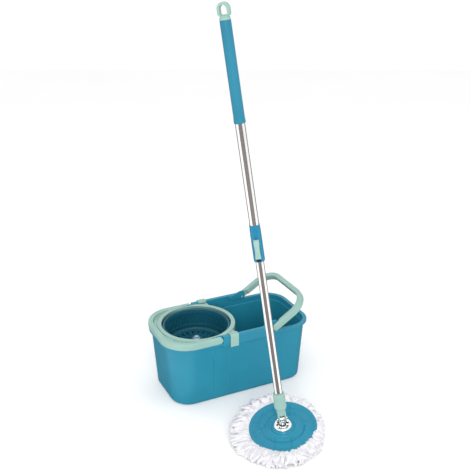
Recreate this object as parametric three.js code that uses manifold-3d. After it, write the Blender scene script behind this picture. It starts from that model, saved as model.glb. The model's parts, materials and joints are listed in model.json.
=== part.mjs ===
// Spin mop set: a long bucket with a spin basket and two bail handles, and a hand-press mop standing
// in front of it. Millimetres, +Z up. The bucket's base centre is the origin, +X runs to the water end.
import * as THREE from "three";
import { mergeVertices } from "three/addons/utils/BufferGeometryUtils.js";
import Module from "manifold-3d";

// Bucket outlines: half length, half width, corner radii at the basket and water ends, centre x, height.
const OUTER_RINGS = [
  [210, 103, 54, 46, 9, 0],
  [214.7, 107.3, 58, 50, 9, 5],
  [222.4, 112, 68, 57, 8.5, 100],
  [229.8, 116.8, 76, 62, 8, 186],
  [237, 124, 82, 66, 8, 190],
  [238, 125, 83, 67, 8, 191.5],
  [238, 125, 83, 67, 8, 195.5],
  [236.4, 123.4, 82, 66, 8, 197.2],
];
const INNER_RINGS = [
  [227.6, 114.6, 73, 59, 8, 197.2],
  [226.4, 113.4, 72, 58, 8, 195.5],
  [226.4, 113.4, 72, 58, 8, 186],
  [219.2, 108.8, 65, 54, 8.5, 100],
  [211.5, 104.1, 55, 47, 9, 9],
  [206, 98.6, 50, 42, 9, 3.2],
];
const CORNER_STEPS = 6;
const RIM_TOP = 217;
const RIM_HALF_WIDTH = 125;
const RIM_START = -63.5;
const RIM_END = 100.5;
const RIM_SKIRT_BOTTOM = 185;
const BAND_X = -67;
const BAND_WIDTH = 48;
const BAND_DEPTH = 1.2;

// Bail handles: hollow bars that wrap round the ends of the rim and lie on its flange when folded.
const BAIL_HEIGHT = 20;
const BAIL_WIDTH = 16;
const BAIL_WALL = 3;
const BAIL_OUTER_Y = 126;
const BAIL_NECK = 22;
const PIVOT_Z = 207.5;
const BAIL_PIN_RADIUS = 3;
const LEFT_BAIL = { pivotX: -75, endX: -231, cornerRadius: 84, raised: 0, earTop: 217 };
const RIGHT_BAIL = { pivotX: 112, endX: 247, cornerRadius: 68, raised: 32, earTop: 227 };
const EAR_INNER_Y = 109.7;
const EAR_OUTER_Y = 113.9;

// Spin basket, its frame and its spindle.
const BASKET_X = -97.4;
const RING_INNER = 106;
const RING_OUTER = 118;
const BASKET_SLOTS = 24;
const SPINDLE_RADIUS = 4;
const POST_TOP = 125;
const CLIP_X = -28.6;
const CLIP_WIDTH = 26;
const CLIP_DROP = 40;

// Mop: where the disc is, which way it faces and which way the pole runs.
const PLATE_CENTRE = new THREE.Vector3(5.7, -364, 38.7);
const PLATE_NORMAL = new THREE.Vector3(-0.1707, -0.1222, 0.978).normalize();
const POLE_DIRECTION = new THREE.Vector3(-0.1225, 0.0707, 0.99).normalize();
const FRONT = new THREE.Vector3(-0.498, -0.868, 0);
const PIN_HEIGHT = 31;
const PLATE_RADIUS = 95.5;
const FRINGE_RADIUS = 142;
const HUB_RADIUS = 24;
const LOWER_TUBE_RADIUS = 10.9;
const LOWER_TUBE_TOP = 661;
const UPPER_TUBE_RADIUS = 12.2;
const UPPER_TUBE_TOP = 1078;
const HOUSING_BOTTOM = 481;
const HOUSING_TOP = 581;
const GRIP_BOTTOM = 842;
const GRIP_TOP = 1083;
const LOOP_TOP = 1123;
const LOOP_HOLE_HALF = 8;
const LOOP_HOLE_BOTTOM = 1096;
const SCREW_LEAD = 80;
const SCREW_STEPS = 14;
const NUT_SLOT_STEPS = 56;
const NUT_SLOT_ROOM = 1.3;
const NUT_LOW = 636;
const NUT_HIGH = 650;
const SCREW_WIDTH = 8;
const SCREW_THICK = 2.4;
const LEVER_PIN_X = 18.2;
const LEVER_PIN_Z = 544;
const GAP = 0.3;

const wasm = await Module();
wasm.setup();

const TEAL = new THREE.Color(0.045, 0.33, 0.45);
const MINT = new THREE.Color(0.42, 0.67, 0.6);
const STEEL = new THREE.Color(0.75, 0.76, 0.78);
const WHITE = new THREE.Color(0.88, 0.88, 0.9);

const HINGE_AXIS = new THREE.Vector3().crossVectors(PLATE_NORMAL, POLE_DIRECTION).normalize();
const PIN_CENTRE = PLATE_CENTRE.clone().addScaledVector(PLATE_NORMAL, PIN_HEIGHT);

// A frame with the given z axis, x as near as it can be to the wanted x, at the given origin.
function frameAt(origin, zAxis, xWanted) {
  const y = new THREE.Vector3().crossVectors(zAxis, xWanted).normalize();
  const x = new THREE.Vector3().crossVectors(y, zAxis).normalize();
  return new THREE.Matrix4().makeBasis(x, y, zAxis).setPosition(origin);
}

const BASKET_FRAME = new THREE.Matrix4().makeTranslation(BASKET_X, 0, 0);
const HEAD_FRAME = frameAt(PLATE_CENTRE, PLATE_NORMAL, HINGE_AXIS);
const FORK_FRAME = frameAt(PIN_CENTRE, POLE_DIRECTION, HINGE_AXIS);
const POLE_FRAME = frameAt(PIN_CENTRE, POLE_DIRECTION, FRONT);

// A three.js geometry as a manifold-3d solid.
function solid(geometry) {
  const bare = new THREE.BufferGeometry();
  bare.setAttribute("position", geometry.getAttribute("position"));
  if (geometry.index) {
    bare.setIndex(geometry.index);
  }
  const merged = mergeVertices(bare, 1e-4);
  const kept = [];
  const index = merged.index.array;
  for (let i = 0; i < index.length; i += 3) {
    const [a, b, c] = [index[i], index[i + 1], index[i + 2]];
    if (a !== b && b !== c && c !== a) {
      kept.push(a, b, c);
    }
  }
  const mesh = new wasm.Mesh({
    numProp: 3,
    vertProperties: new Float32Array(merged.attributes.position.array),
    triVerts: new Uint32Array(kept),
  });
  return new wasm.Manifold(mesh);
}

// A manifold-3d solid as a named three.js mesh with its own material.
function piece(name, body, colour, roughness, metalness) {
  const mesh = body.getMesh();
  const positions = new Float32Array(mesh.numVert * 3);
  for (let i = 0; i < mesh.numVert; i += 1) {
    positions.set(mesh.vertProperties.subarray(i * mesh.numProp, i * mesh.numProp + 3), i * 3);
  }
  const geometry = new THREE.BufferGeometry();
  geometry.setAttribute("position", new THREE.BufferAttribute(positions, 3));
  geometry.setIndex(new THREE.BufferAttribute(new Uint32Array(mesh.triVerts), 1));
  geometry.computeVertexNormals();
  const material = new THREE.MeshStandardMaterial({ color: colour, roughness, metalness });
  const made = new THREE.Mesh(geometry, material);
  made.name = name;
  return made;
}

// A block from its size and its centre.
function block(sx, sy, sz, x, y, z) {
  return new THREE.BoxGeometry(sx, sy, sz).translate(x, y, z);
}

// A cylinder along z from a radius, its two ends and its place.
function rod(radius, z0, z1, segments = 32, x = 0, y = 0) {
  const made = new THREE.CylinderGeometry(radius, radius, z1 - z0, segments);
  return made.rotateX(Math.PI / 2).translate(x, y, (z0 + z1) / 2);
}

// A cylinder along y between two ends.
function crossRod(radius, y0, y1, x, z, segments = 24) {
  const made = new THREE.CylinderGeometry(radius, radius, y1 - y0, segments);
  return made.translate(x, (y0 + y1) / 2, z);
}

// A profile of [radius, height] turned about z, wound so that it faces out.
function turned(profile, segments = 48) {
  let area = 0;
  for (let i = 0; i < profile.length; i += 1) {
    const [r0, z0] = profile[i];
    const [r1, z1] = profile[(i + 1) % profile.length];
    area += r0 * z1 - r1 * z0;
  }
  const points = profile.map(([r, z]) => new THREE.Vector2(r, z));
  if (area < 0) {
    points.reverse();
  }
  const first = points[0];
  const last = points[points.length - 1];
  if (first.x > 0 || last.x > 0) {
    points.push(first.clone());
  }
  return new THREE.LatheGeometry(points, segments).rotateX(Math.PI / 2);
}

// A ring of rectangular section.
function ringOf(inner, outer, z0, z1, segments = 48) {
  return turned([[inner, z0], [outer, z0], [outer, z1], [inner, z1]], segments);
}

// The outline of a long box with separate corner radii at its two ends, counter-clockwise.
function outline(halfLength, halfWidth, nearRadius, farRadius, centreX, z) {
  const points = [];
  const corners = [
    [1, 1, farRadius, 0],
    [-1, 1, nearRadius, 1],
    [-1, -1, nearRadius, 2],
    [1, -1, farRadius, 3],
  ];
  for (const [sx, sy, radius, quarter] of corners) {
    const cx = centreX + sx * (halfLength - radius);
    const cy = sy * (halfWidth - radius);
    for (let i = 0; i <= CORNER_STEPS; i += 1) {
      const angle = (Math.PI / 2) * (quarter + i / CORNER_STEPS);
      points.push(new THREE.Vector3(cx + radius * Math.cos(angle), cy + radius * Math.sin(angle), z));
    }
  }
  return points;
}

// Rings of equally many points joined in order, with a flat cap on the first and the last.
function lofted(rings) {
  const count = rings[0].length;
  const positions = [];
  const index = [];
  for (const ring of rings) {
    for (const point of ring) {
      positions.push(point.x, point.y, point.z);
    }
  }
  for (let r = 0; r + 1 < rings.length; r += 1) {
    for (let i = 0; i < count; i += 1) {
      const a = r * count + i;
      const b = r * count + ((i + 1) % count);
      index.push(a, b, b + count, a, b + count, a + count);
    }
  }
  for (const [ring, start, forward] of [[0, 0, false], [rings.length - 1, 1, true]]) {
    const centre = new THREE.Vector3();
    for (const point of rings[ring]) {
      centre.addScaledVector(point, 1 / count);
    }
    const hub = rings.length * count + start;
    positions.push(centre.x, centre.y, centre.z);
    for (let i = 0; i < count; i += 1) {
      const a = ring * count + i;
      const b = ring * count + ((i + 1) % count);
      index.push(...(forward ? [hub, a, b] : [hub, b, a]));
    }
  }
  const made = new THREE.BufferGeometry();
  made.setAttribute("position", new THREE.BufferAttribute(new Float32Array(positions), 3));
  made.setIndex(index);
  return made;
}

// A flat shape pulled up along z.
function pulled(shape, z0, z1, bevel = 0, curveSegments = 12) {
  const made = new THREE.ExtrudeGeometry(shape, {
    depth: z1 - z0 - 2 * bevel,
    bevelEnabled: bevel > 0,
    bevelSize: bevel,
    bevelThickness: bevel,
    bevelOffset: -bevel,
    bevelSegments: 1,
    curveSegments,
  });
  return made.translate(0, 0, z0 + bevel);
}

function bucketShell() {
  const rings = [...OUTER_RINGS, ...INNER_RINGS].map((ring) => outline(...ring));
  let body = solid(lofted(rings));
  for (const side of [-1, 1]) {
    const length = RIM_END - RIM_START;
    const middle = (RIM_END + RIM_START) / 2;
    const section = new THREE.Shape([
      new THREE.Vector2(113.6, 200),
      new THREE.Vector2(119, 200),
      new THREE.Vector2(122.4, RIM_SKIRT_BOTTOM + 6),
      new THREE.Vector2(122.4, RIM_SKIRT_BOTTOM),
      new THREE.Vector2(RIM_HALF_WIDTH, RIM_SKIRT_BOTTOM),
      new THREE.Vector2(RIM_HALF_WIDTH, RIM_TOP - 3),
      new THREE.Vector2(RIM_HALF_WIDTH - 2, RIM_TOP),
      new THREE.Vector2(115.6, RIM_TOP),
      new THREE.Vector2(113.6, RIM_TOP - 2),
    ]);
    const rim = pulled(section, -length / 2, length / 2);
    rim.rotateX(Math.PI / 2).rotateZ(Math.PI / 2);
    if (side < 0) {
      rim.rotateZ(Math.PI);
    }
    rim.translate(middle, 0, 0);
    body = body.add(solid(rim));
    for (const { pivotX, endX, earTop } of [LEFT_BAIL, RIGHT_BAIL]) {
      const inward = endX > pivotX ? -1 : 1;
      const outlinePoints = [
        [24, 180], [24, RIM_TOP - 5], [6, earTop], [-6, earTop], [-9.5, earTop - 5], [-9.5, 180],
      ];
      const flat = outlinePoints.map(([x, z]) => new THREE.Vector2(pivotX + inward * x, z));
      const earShape = new THREE.Shape(flat);
      const ear = pulled(earShape, 0, EAR_OUTER_Y - EAR_INNER_Y).rotateX(Math.PI / 2);
      ear.translate(0, side > 0 ? EAR_OUTER_Y : -EAR_INNER_Y, 0);
      body = body.add(solid(ear));
      const hole = crossRod(BAIL_PIN_RADIUS + GAP, 104, 120, pivotX, PIVOT_Z);
      body = body.subtract(solid(side > 0 ? hole : hole.translate(0, -224, 0)));
    }
    const lean = Math.atan2(9.5, 181);
    const band = new THREE.BoxGeometry(BAND_WIDTH, 4, 150);
    band.rotateX(-side * lean).translate(BAND_X, side * (112 + 2 - BAND_DEPTH), 100);
    body = body.subtract(solid(band));
  }
  const post = turned([[0, 2], [30, 2], [26, 10], [15, 60], [12, POST_TOP], [0, POST_TOP]], 24);
  body = body.add(solid(post.applyMatrix4(BASKET_FRAME)));
  for (let i = 0; i < 4; i += 1) {
    const rib = block(56, 3, 46, 0, 0, 25);
    rib.rotateZ((Math.PI / 4) * i).applyMatrix4(BASKET_FRAME);
    body = body.add(solid(rib));
  }
  const bore = rod(SPINDLE_RADIUS + GAP, 90, POST_TOP + 5).applyMatrix4(BASKET_FRAME);
  body = body.subtract(solid(bore));
  return piece("bucket_shell", body, TEAL, 0.4, 0);
}

// The plan of a bar round one end of the rim, drawn for the +X end, between two distances from its outside.
function barPlan(reach, cornerRadius, startX, outerInset, innerInset) {
  const shape = new THREE.Shape();
  const outer = BAIL_OUTER_Y - outerInset;
  const inner = BAIL_OUTER_Y - innerInset;
  const centreX = reach - cornerRadius;
  const centreY = BAIL_OUTER_Y - cornerRadius;
  const outerRadius = cornerRadius - outerInset;
  const innerRadius = cornerRadius - innerInset;
  shape.moveTo(startX, -outer);
  shape.lineTo(centreX, -outer);
  shape.absarc(centreX, -centreY, outerRadius, -Math.PI / 2, 0, false);
  shape.lineTo(reach - outerInset, centreY);
  shape.absarc(centreX, centreY, outerRadius, 0, Math.PI / 2, false);
  shape.lineTo(startX, outer);
  shape.lineTo(startX, inner);
  shape.lineTo(centreX, inner);
  shape.absarc(centreX, centreY, innerRadius, Math.PI / 2, 0, true);
  shape.lineTo(reach - innerInset, -centreY);
  shape.absarc(centreX, -centreY, innerRadius, 0, -Math.PI / 2, true);
  shape.lineTo(startX, -inner);
  shape.closePath();
  return shape;
}

function bail(name, { pivotX, endX, cornerRadius, raised }) {
  const reach = Math.abs(endX - pivotX);
  const half = BAIL_HEIGHT / 2;
  const whole = barPlan(reach, cornerRadius, BAIL_NECK, 0, BAIL_WIDTH);
  const groove = barPlan(reach, cornerRadius, BAIL_NECK + 6, BAIL_WALL, BAIL_WIDTH - BAIL_WALL);
  let body = solid(pulled(whole, -half, half, 1.5, 6));
  body = body.subtract(solid(pulled(groove, -half - 1, half - BAIL_WALL, 0, 6)));
  const bossInner = EAR_OUTER_Y + 0.5;
  const bossMiddle = (bossInner + BAIL_OUTER_Y) / 2;
  for (const side of [-1, 1]) {
    const y = side * bossMiddle;
    const thick = BAIL_OUTER_Y - bossInner;
    body = body.add(solid(crossRod(half, y - thick / 2, y + thick / 2, 0, 0, 24)));
    body = body.add(solid(block(BAIL_NECK + 2, thick, BAIL_HEIGHT - 0.6, BAIL_NECK / 2 + 1, y, 0)));
    body = body.subtract(solid(crossRod(BAIL_PIN_RADIUS + GAP, y - 9, y + 9, 0, 0)));
  }
  const place = new THREE.Matrix4().makeTranslation(pivotX, 0, PIVOT_Z);
  if (endX < pivotX) {
    place.multiply(new THREE.Matrix4().makeRotationZ(Math.PI));
  }
  place.multiply(new THREE.Matrix4().makeRotationY(-THREE.MathUtils.degToRad(raised)));
  return piece(name, body.transform(place.elements), MINT, 0.4, 0);
}

function bailPins() {
  const made = [];
  const length = BAIL_OUTER_Y + 0.6 - EAR_INNER_Y;
  const profile = [
    [0, 0], [BAIL_PIN_RADIUS, 0], [BAIL_PIN_RADIUS, length],
    [5.4, length], [4.4, length + 2], [0, length + 2],
  ];
  for (const [end, { pivotX }] of [["left", LEFT_BAIL], ["right", RIGHT_BAIL]]) {
    for (const side of [-1, 1]) {
      const pin = turned(profile, 16).rotateX(-Math.PI / 2).rotateZ(side > 0 ? 0 : Math.PI);
      pin.translate(pivotX, side * EAR_INNER_Y, PIVOT_Z);
      made.push(piece("bail_pin_" + end + (side > 0 ? "_back" : "_front"), solid(pin), MINT, 0.45, 0));
    }
  }
  return made;
}

function basketFrame() {
  const section = [
    [RING_INNER, 194],
    [RING_INNER + 3, 194],
    [RING_INNER + 3, 209.8],
    [RING_OUTER - 1, 209.8],
    [RING_OUTER, 211],
    [RING_OUTER, 214.5],
    [RING_OUTER - 2, 216],
    [RING_INNER + 1.5, 216],
    [RING_INNER, 214.5],
  ];
  let body = solid(turned(section, 48).applyMatrix4(BASKET_FRAME));
  const plan = outline(215, 109.3, 68, 45, 0.7, 0).map((p) => new THREE.Vector2(p.x, p.y));
  const beside = solid(block(180, 300, 60, -140.5, 0, 205));
  const across = solid(block(80.5, 226.4, 60, -10.3, 0, 205));
  const room = solid(pulled(new THREE.Shape(plan), 180, 225)).intersect(beside).add(across);
  let tray = room.intersect(solid(block(212, 300, 2.6, -120, 0, 211.1)));
  tray = tray.subtract(solid(rod(RING_INNER + 2, 200, 220, 48).applyMatrix4(BASKET_FRAME)));
  body = body.add(tray);
  const skirt = solid(ringOf(RING_OUTER - 3, RING_OUTER, 188, 212, 48).applyMatrix4(BASKET_FRAME));
  body = body.add(skirt.intersect(solid(block(60, 190, 60, -2, 0, 200))));
  for (const side of [-1, 1]) {
    for (let i = 0; i < 7; i += 1) {
      const angle = Math.PI - side * (0.62 + i * 0.09);
      const rib = block(14, 2, 3.4, 122, 0, 213.2).rotateZ(angle).applyMatrix4(BASKET_FRAME);
      body = body.add(solid(rib));
    }
  }
  return piece("basket_frame", body.intersect(room), MINT, 0.4, 0);
}

function rimClip(name, side) {
  const outer = RIM_HALF_WIDTH + GAP + 3;
  const inner = 110;
  const top = RIM_TOP + 3.3;
  const section = new THREE.Shape([
    new THREE.Vector2(inner, 212.8),
    new THREE.Vector2(inner + 2.8, 212.8),
    new THREE.Vector2(inner + 2.8, RIM_TOP + GAP),
    new THREE.Vector2(RIM_HALF_WIDTH + GAP, RIM_TOP + GAP),
    new THREE.Vector2(RIM_HALF_WIDTH + GAP, top - CLIP_DROP + 5),
    new THREE.Vector2(RIM_HALF_WIDTH + GAP, top - CLIP_DROP),
    new THREE.Vector2(outer - 1, top - CLIP_DROP - 1),
    new THREE.Vector2(outer, top - CLIP_DROP + 2),
    new THREE.Vector2(outer, top - 3),
    new THREE.Vector2(outer - 2.5, top),
    new THREE.Vector2(inner + 1, top),
    new THREE.Vector2(inner, top - 1),
  ]);
  const strip = pulled(section, -CLIP_WIDTH / 2, CLIP_WIDTH / 2);
  strip.rotateX(Math.PI / 2).rotateZ(Math.PI / 2);
  if (side < 0) {
    strip.rotateZ(Math.PI);
  }
  let body = solid(strip.translate(CLIP_X, 0, 0));
  for (const offset of [-6, 6]) {
    body = body.subtract(solid(block(7, 3.4, 12, CLIP_X + offset, side * 117, top)));
  }
  return piece(name, body, MINT, 0.4, 0);
}

function spinBasket() {
  const profile = [
    [9.3, 128], [16, 128], [16, 139], [84, 139], [89.5, 142.5], [100.6, 204], [104.6, 206],
    [104.6, 210.5], [103.4, 212], [100.6, 212], [99.2, 210.5], [98, 204], [87.2, 145],
    [83, 142], [20, 142], [17.5, 150], [15.5, 160], [9.3, 160],
  ];
  let body = solid(turned(profile, 48));
  for (let i = 0; i < BASKET_SLOTS; i += 1) {
    const angle = (2 * Math.PI * (i + 0.5)) / BASKET_SLOTS;
    body = body.subtract(solid(block(30, 7, 44, 97, 0, 176).rotateZ(angle)));
  }
  for (let i = 0; i < 8; i += 1) {
    const angle = (2 * Math.PI * i) / 8;
    body = body.subtract(solid(block(34, 7, 12, 54, 0, 140).rotateZ(angle)));
  }
  return piece("spin_basket", body.transform(BASKET_FRAME.elements), TEAL, 0.35, 0);
}

function basketRunningParts() {
  let hub = solid(turned([[0, 160.4], [15.2, 160.4], [15.2, 162.6], [11, 163.4], [0, 163.4]], 40));
  hub = hub.add(solid(rod(6.5, 162, 166.5, 24)));
  for (let i = 0; i < 8; i += 1) {
    hub = hub.add(solid(block(8, 2.4, 3.2, 6, 0, 164.2).rotateZ((Math.PI / 4) * i)));
  }
  const bearing = solid(ringOf(SPINDLE_RADIUS + GAP, 9, 128.4, 157, 32));
  const spindleLine = [[0, 90.3], [SPINDLE_RADIUS, 90.3], [SPINDLE_RADIUS, 158], [3, 159], [0, 159]];
  const spindle = solid(turned(spindleLine, 24));
  const washer = solid(ringOf(SPINDLE_RADIUS + GAP, 11, POST_TOP + GAP, POST_TOP + 2.2, 32));
  const place = BASKET_FRAME.elements;
  return [
    piece("basket_hub", hub.transform(place), STEEL, 0.3, 0.8),
    piece("basket_bearing", bearing.transform(place), WHITE, 0.5, 0),
    piece("basket_spindle", spindle.transform(place), STEEL, 0.25, 1),
    piece("spindle_washer", washer.transform(place), STEEL, 0.35, 1),
  ];
}

function fringe() {
  const above = [
    [0, -9.4], [90.5, -9.4], [90.5, -6.6], [96.5, -6.6], [97.5, -2.5], [112, 0], [126, -2],
    [138, -8], [146, -18], [151, -50], [0, -50],
  ];
  const head = solid(turned(above, 40).applyMatrix4(HEAD_FRAME));
  const around = [[0, 0], [134, 0], [140, 6], [FRINGE_RADIUS, 16], [139, 45], [122, 80], [0, 80]];
  const place = new THREE.Matrix4().makeTranslation(PLATE_CENTRE.x, PLATE_CENTRE.y, 0);
  const floorPart = solid(turned(around, 40).applyMatrix4(place));
  return piece("fringe", head.intersect(floorPart), WHITE, 0.95, 0);
}

function fringeRing() {
  const body = solid(ringOf(62, 90, -9, -6.3, 40).applyMatrix4(HEAD_FRAME));
  return piece("fringe_ring", body, WHITE, 0.5, 0);
}

function mopPlate() {
  const profile = [
    [0, -6], [PLATE_RADIUS - 2, -6], [PLATE_RADIUS, -4.5], [PLATE_RADIUS, -1], [PLATE_RADIUS - 1.5, 0.5],
    [87, 0.5], [85.5, -1.2], [66, -1.2], [64.5, 1.2], [60, 1.2], [58.5, -1.2], [33, -1.2], [31.5, 2.4],
    [26.5, 2.4], [26.5, 0], [0, 0],
  ];
  let body = solid(turned(profile, 48));
  for (let i = 0; i < 8; i += 1) {
    const rib = block(32, 1.8, 3, 74, 0, -1.2).rotateZ((Math.PI / 4) * i);
    body = body.add(solid(rib));
  }
  return piece("mop_plate", body.transform(HEAD_FRAME.elements), TEAL, 0.4, 0);
}

function plateHub() {
  const profile = [
    [18.8, GAP], [HUB_RADIUS, GAP], [HUB_RADIUS, 9], [22, 11], [14.5, 11], [14.5, 7.5], [18.8, 6.5],
  ];
  let body = solid(turned(profile, 40));
  for (let i = 0; i < 8; i += 1) {
    const notch = rod(3.2, 4, 14, 10, HUB_RADIUS - 0.6, 0).rotateZ((Math.PI / 4) * (i + 0.5));
    body = body.subtract(solid(notch));
  }
  return piece("plate_hub", body.transform(HEAD_FRAME.elements), STEEL, 0.2, 1);
}

function platePivot() {
  let body = solid(turned([[0, 0.6], [18, 0.6], [18, 5], [12.5, 6.4], [11, 12], [0, 12]], 32));
  body = body.add(solid(block(12.4, 15, 20, 0, 0, 20)));
  const eye = crossRod(8.5, -6.2, 6.2, 0, 0, 24).rotateZ(Math.PI / 2).translate(0, 0, PIN_HEIGHT);
  body = body.add(solid(eye));
  const hole = crossRod(3.3, -9, 9, 0, 0, 16).rotateZ(Math.PI / 2).translate(0, 0, PIN_HEIGHT);
  body = body.subtract(solid(hole));
  return piece("plate_pivot", body.transform(HEAD_FRAME.elements), STEEL, 0.3, 0.8);
}

function forkSocket() {
  let body = solid(turned([[0, 14], [13.5, 14], [14.2, 34], [12.6, 37], [12.6, 80], [0, 80]], 32));
  for (const side of [-1, 1]) {
    body = body.add(solid(block(5, 14, 20, side * 9.4, 0, 8)));
    const eye = crossRod(8, -2.5, 2.5, 0, 0, 20).rotateZ(Math.PI / 2).translate(side * 9.4, 0, 0);
    body = body.add(solid(eye));
  }
  const hole = crossRod(3.3, -16, 16, 0, 0, 16).rotateZ(Math.PI / 2);
  body = body.subtract(solid(hole));
  body = body.subtract(solid(rod(LOWER_TUBE_RADIUS + GAP, 44, 90, 32)));
  return piece("fork_socket", body.transform(FORK_FRAME.elements), MINT, 0.4, 0);
}

function hingePin() {
  const profile = [
    [0, -14.6], [4.6, -14.6], [4.6, -12.3], [3, -12.3], [3, 12.3], [4.6, 12.3], [4.6, 14.6], [0, 14.6],
  ];
  const body = solid(turned(profile, 24).rotateY(Math.PI / 2).applyMatrix4(FORK_FRAME));
  return piece("hinge_pin", body, STEEL, 0.25, 1);
}

function collarNut() {
  const profile = [
    [13, 37.4], [16.4, 37.4], [16.9, 40], [15.8, 78], [14.6, 84.4], [11.5, 84.4], [11.5, 80.4], [13, 80.4],
  ];
  let body = solid(turned(profile, 32));
  for (let i = 0; i < 12; i += 1) {
    const groove = rod(1.1, 42, 72, 6, 17, 0).rotateZ((Math.PI / 6) * i);
    body = body.subtract(solid(groove));
  }
  return piece("collar_nut", body.transform(POLE_FRAME.elements), MINT, 0.4, 0);
}

function lowerTube() {
  const body = solid(ringOf(LOWER_TUBE_RADIUS - 1, LOWER_TUBE_RADIUS, 44.4, LOWER_TUBE_TOP, 32));
  return piece("lower_tube", body.transform(POLE_FRAME.elements), STEEL, 0.08, 1);
}

function guideCap() {
  const profile = [[5.4, 652], [9.6, 652], [9.6, 661.3], [11.2, 661.3], [11.2, 672], [5.4, 672]];
  const body = solid(turned(profile, 32).applyMatrix4(POLE_FRAME));
  return piece("guide_cap", body, WHITE, 0.5, 0);
}

// A twisted strip along the pole's axis between two steps of its turn. It makes the screw and cuts the
// nut's slot, so the two mesh.
function twistedStrip(width, thick, firstStep, lastStep, stepsPerTurn) {
  const rings = [];
  for (let i = firstStep; i <= lastStep; i += 1) {
    const z = (SCREW_LEAD * i) / stepsPerTurn;
    const angle = (2 * Math.PI * i) / stepsPerTurn;
    const corners = [[1, 1], [-1, 1], [-1, -1], [1, -1]];
    rings.push(
      corners.map(([sx, sy]) => {
        const point = new THREE.Vector3((sx * width) / 2, (sy * thick) / 2, z);
        return point.applyAxisAngle(new THREE.Vector3(0, 0, 1), angle);
      }),
    );
  }
  return lofted(rings);
}

function driveScrew() {
  let body = solid(twistedStrip(SCREW_WIDTH, SCREW_THICK, 70, 184, SCREW_STEPS));
  body = body.add(solid(rod(10.9, 1050, 1058, 32)));
  return piece("drive_screw", body.transform(POLE_FRAME.elements), STEEL, 0.3, 1);
}

function driveNut() {
  let body = solid(rod(9.5, NUT_LOW, NUT_HIGH, 32));
  const wide = SCREW_WIDTH + 2 * NUT_SLOT_ROOM;
  const thick = SCREW_THICK + 2 * NUT_SLOT_ROOM;
  body = body.subtract(solid(twistedStrip(wide, thick, 440, 460, NUT_SLOT_STEPS)));
  return piece("drive_nut", body.transform(POLE_FRAME.elements), WHITE, 0.5, 0);
}

function upperTube() {
  const body = solid(ringOf(UPPER_TUBE_RADIUS - 0.7, UPPER_TUBE_RADIUS, 502, UPPER_TUBE_TOP, 32));
  return piece("upper_tube", body.transform(POLE_FRAME.elements), STEEL, 0.08, 1);
}

function clampHousing() {
  const profile = [
    [LOWER_TUBE_RADIUS + 0.4, HOUSING_BOTTOM], [13.4, HOUSING_BOTTOM], [14.2, HOUSING_BOTTOM + 3],
    [14.2, 560], [13.4, HOUSING_TOP], [12.5, HOUSING_TOP], [12.5, 501.6], [LOWER_TUBE_RADIUS + 0.4, 501.6],
  ];
  let body = solid(turned(profile, 32));
  body = body.add(solid(block(3.4, 16, 46, 14.2, 0, 512)));
  body = body.add(solid(block(6, 6.6, 7.4, 15.2, 0, LEVER_PIN_Z)));
  body = body.add(solid(crossRod(3.7, -3.3, 3.3, LEVER_PIN_X, LEVER_PIN_Z)));
  body = body.subtract(solid(crossRod(1.6, -9, 9, LEVER_PIN_X, LEVER_PIN_Z, 16)));
  body = body.subtract(solid(rod(12.5, 501.6, 600, 32)));
  body = body.subtract(solid(rod(LOWER_TUBE_RADIUS + 0.4, 470, 510, 32)));
  return piece("clamp_housing", body.transform(POLE_FRAME.elements), TEAL, 0.4, 0);
}

function lockLever() {
  let body = solid(block(4.6, 15, 53, 18.8, 0, 517));
  body = body.add(solid(crossRod(3.6, -7.5, 7.5, LEVER_PIN_X, LEVER_PIN_Z)));
  body = body.subtract(solid(block(14, 7.4, 13, LEVER_PIN_X, 0, LEVER_PIN_Z + 1)));
  body = body.subtract(solid(crossRod(1.6, -9, 9, LEVER_PIN_X, LEVER_PIN_Z, 16)));
  return piece("lock_lever", body.transform(POLE_FRAME.elements), MINT, 0.4, 0);
}

function leverPin() {
  const body = solid(crossRod(1.3, -7.3, 7.3, LEVER_PIN_X, LEVER_PIN_Z, 16));
  return piece("lever_pin", body.transform(POLE_FRAME.elements), STEEL, 0.3, 1);
}

function grip() {
  const profile = [
    [12.5, GRIP_BOTTOM], [14, GRIP_BOTTOM], [14.4, GRIP_BOTTOM + 3], [13.6, GRIP_BOTTOM + 12],
    [13.6, GRIP_TOP - 8], [13.2, GRIP_TOP], [12.5, GRIP_TOP],
  ];
  return piece("grip", solid(turned(profile, 36).applyMatrix4(POLE_FRAME)), TEAL, 0.5, 0);
}

function hangingLoop() {
  const plugLine = [
    [0, 1064], [11.1, 1064], [11.1, 1078.4], [12.1, 1078.4], [12.1, 1083.3],
    [13.2, 1083.3], [13.2, 1086], [10, 1090], [0, 1090],
  ];
  const plug = turned(plugLine, 28);
  const shape = new THREE.Shape();
  const half = 16;
  const top = LOOP_TOP;
  shape.moveTo(-half, 1088);
  shape.lineTo(half, 1088);
  shape.lineTo(half, top - half);
  shape.absarc(0, top - half, half, 0, Math.PI, false);
  shape.closePath();
  const hole = new THREE.Path();
  hole.moveTo(-LOOP_HOLE_HALF, LOOP_HOLE_BOTTOM);
  hole.lineTo(-LOOP_HOLE_HALF, top - half);
  hole.absarc(0, top - half, LOOP_HOLE_HALF, Math.PI, 0, true);
  hole.lineTo(LOOP_HOLE_HALF, LOOP_HOLE_BOTTOM);
  hole.closePath();
  shape.holes.push(hole);
  const loop = pulled(shape, -5.5, 5.5, 1, 8);
  loop.rotateX(Math.PI / 2).rotateZ(Math.PI / 2);
  const body = solid(plug).add(solid(loop));
  return piece("hanging_loop", body.transform(POLE_FRAME.elements), MINT, 0.45, 0);
}

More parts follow.
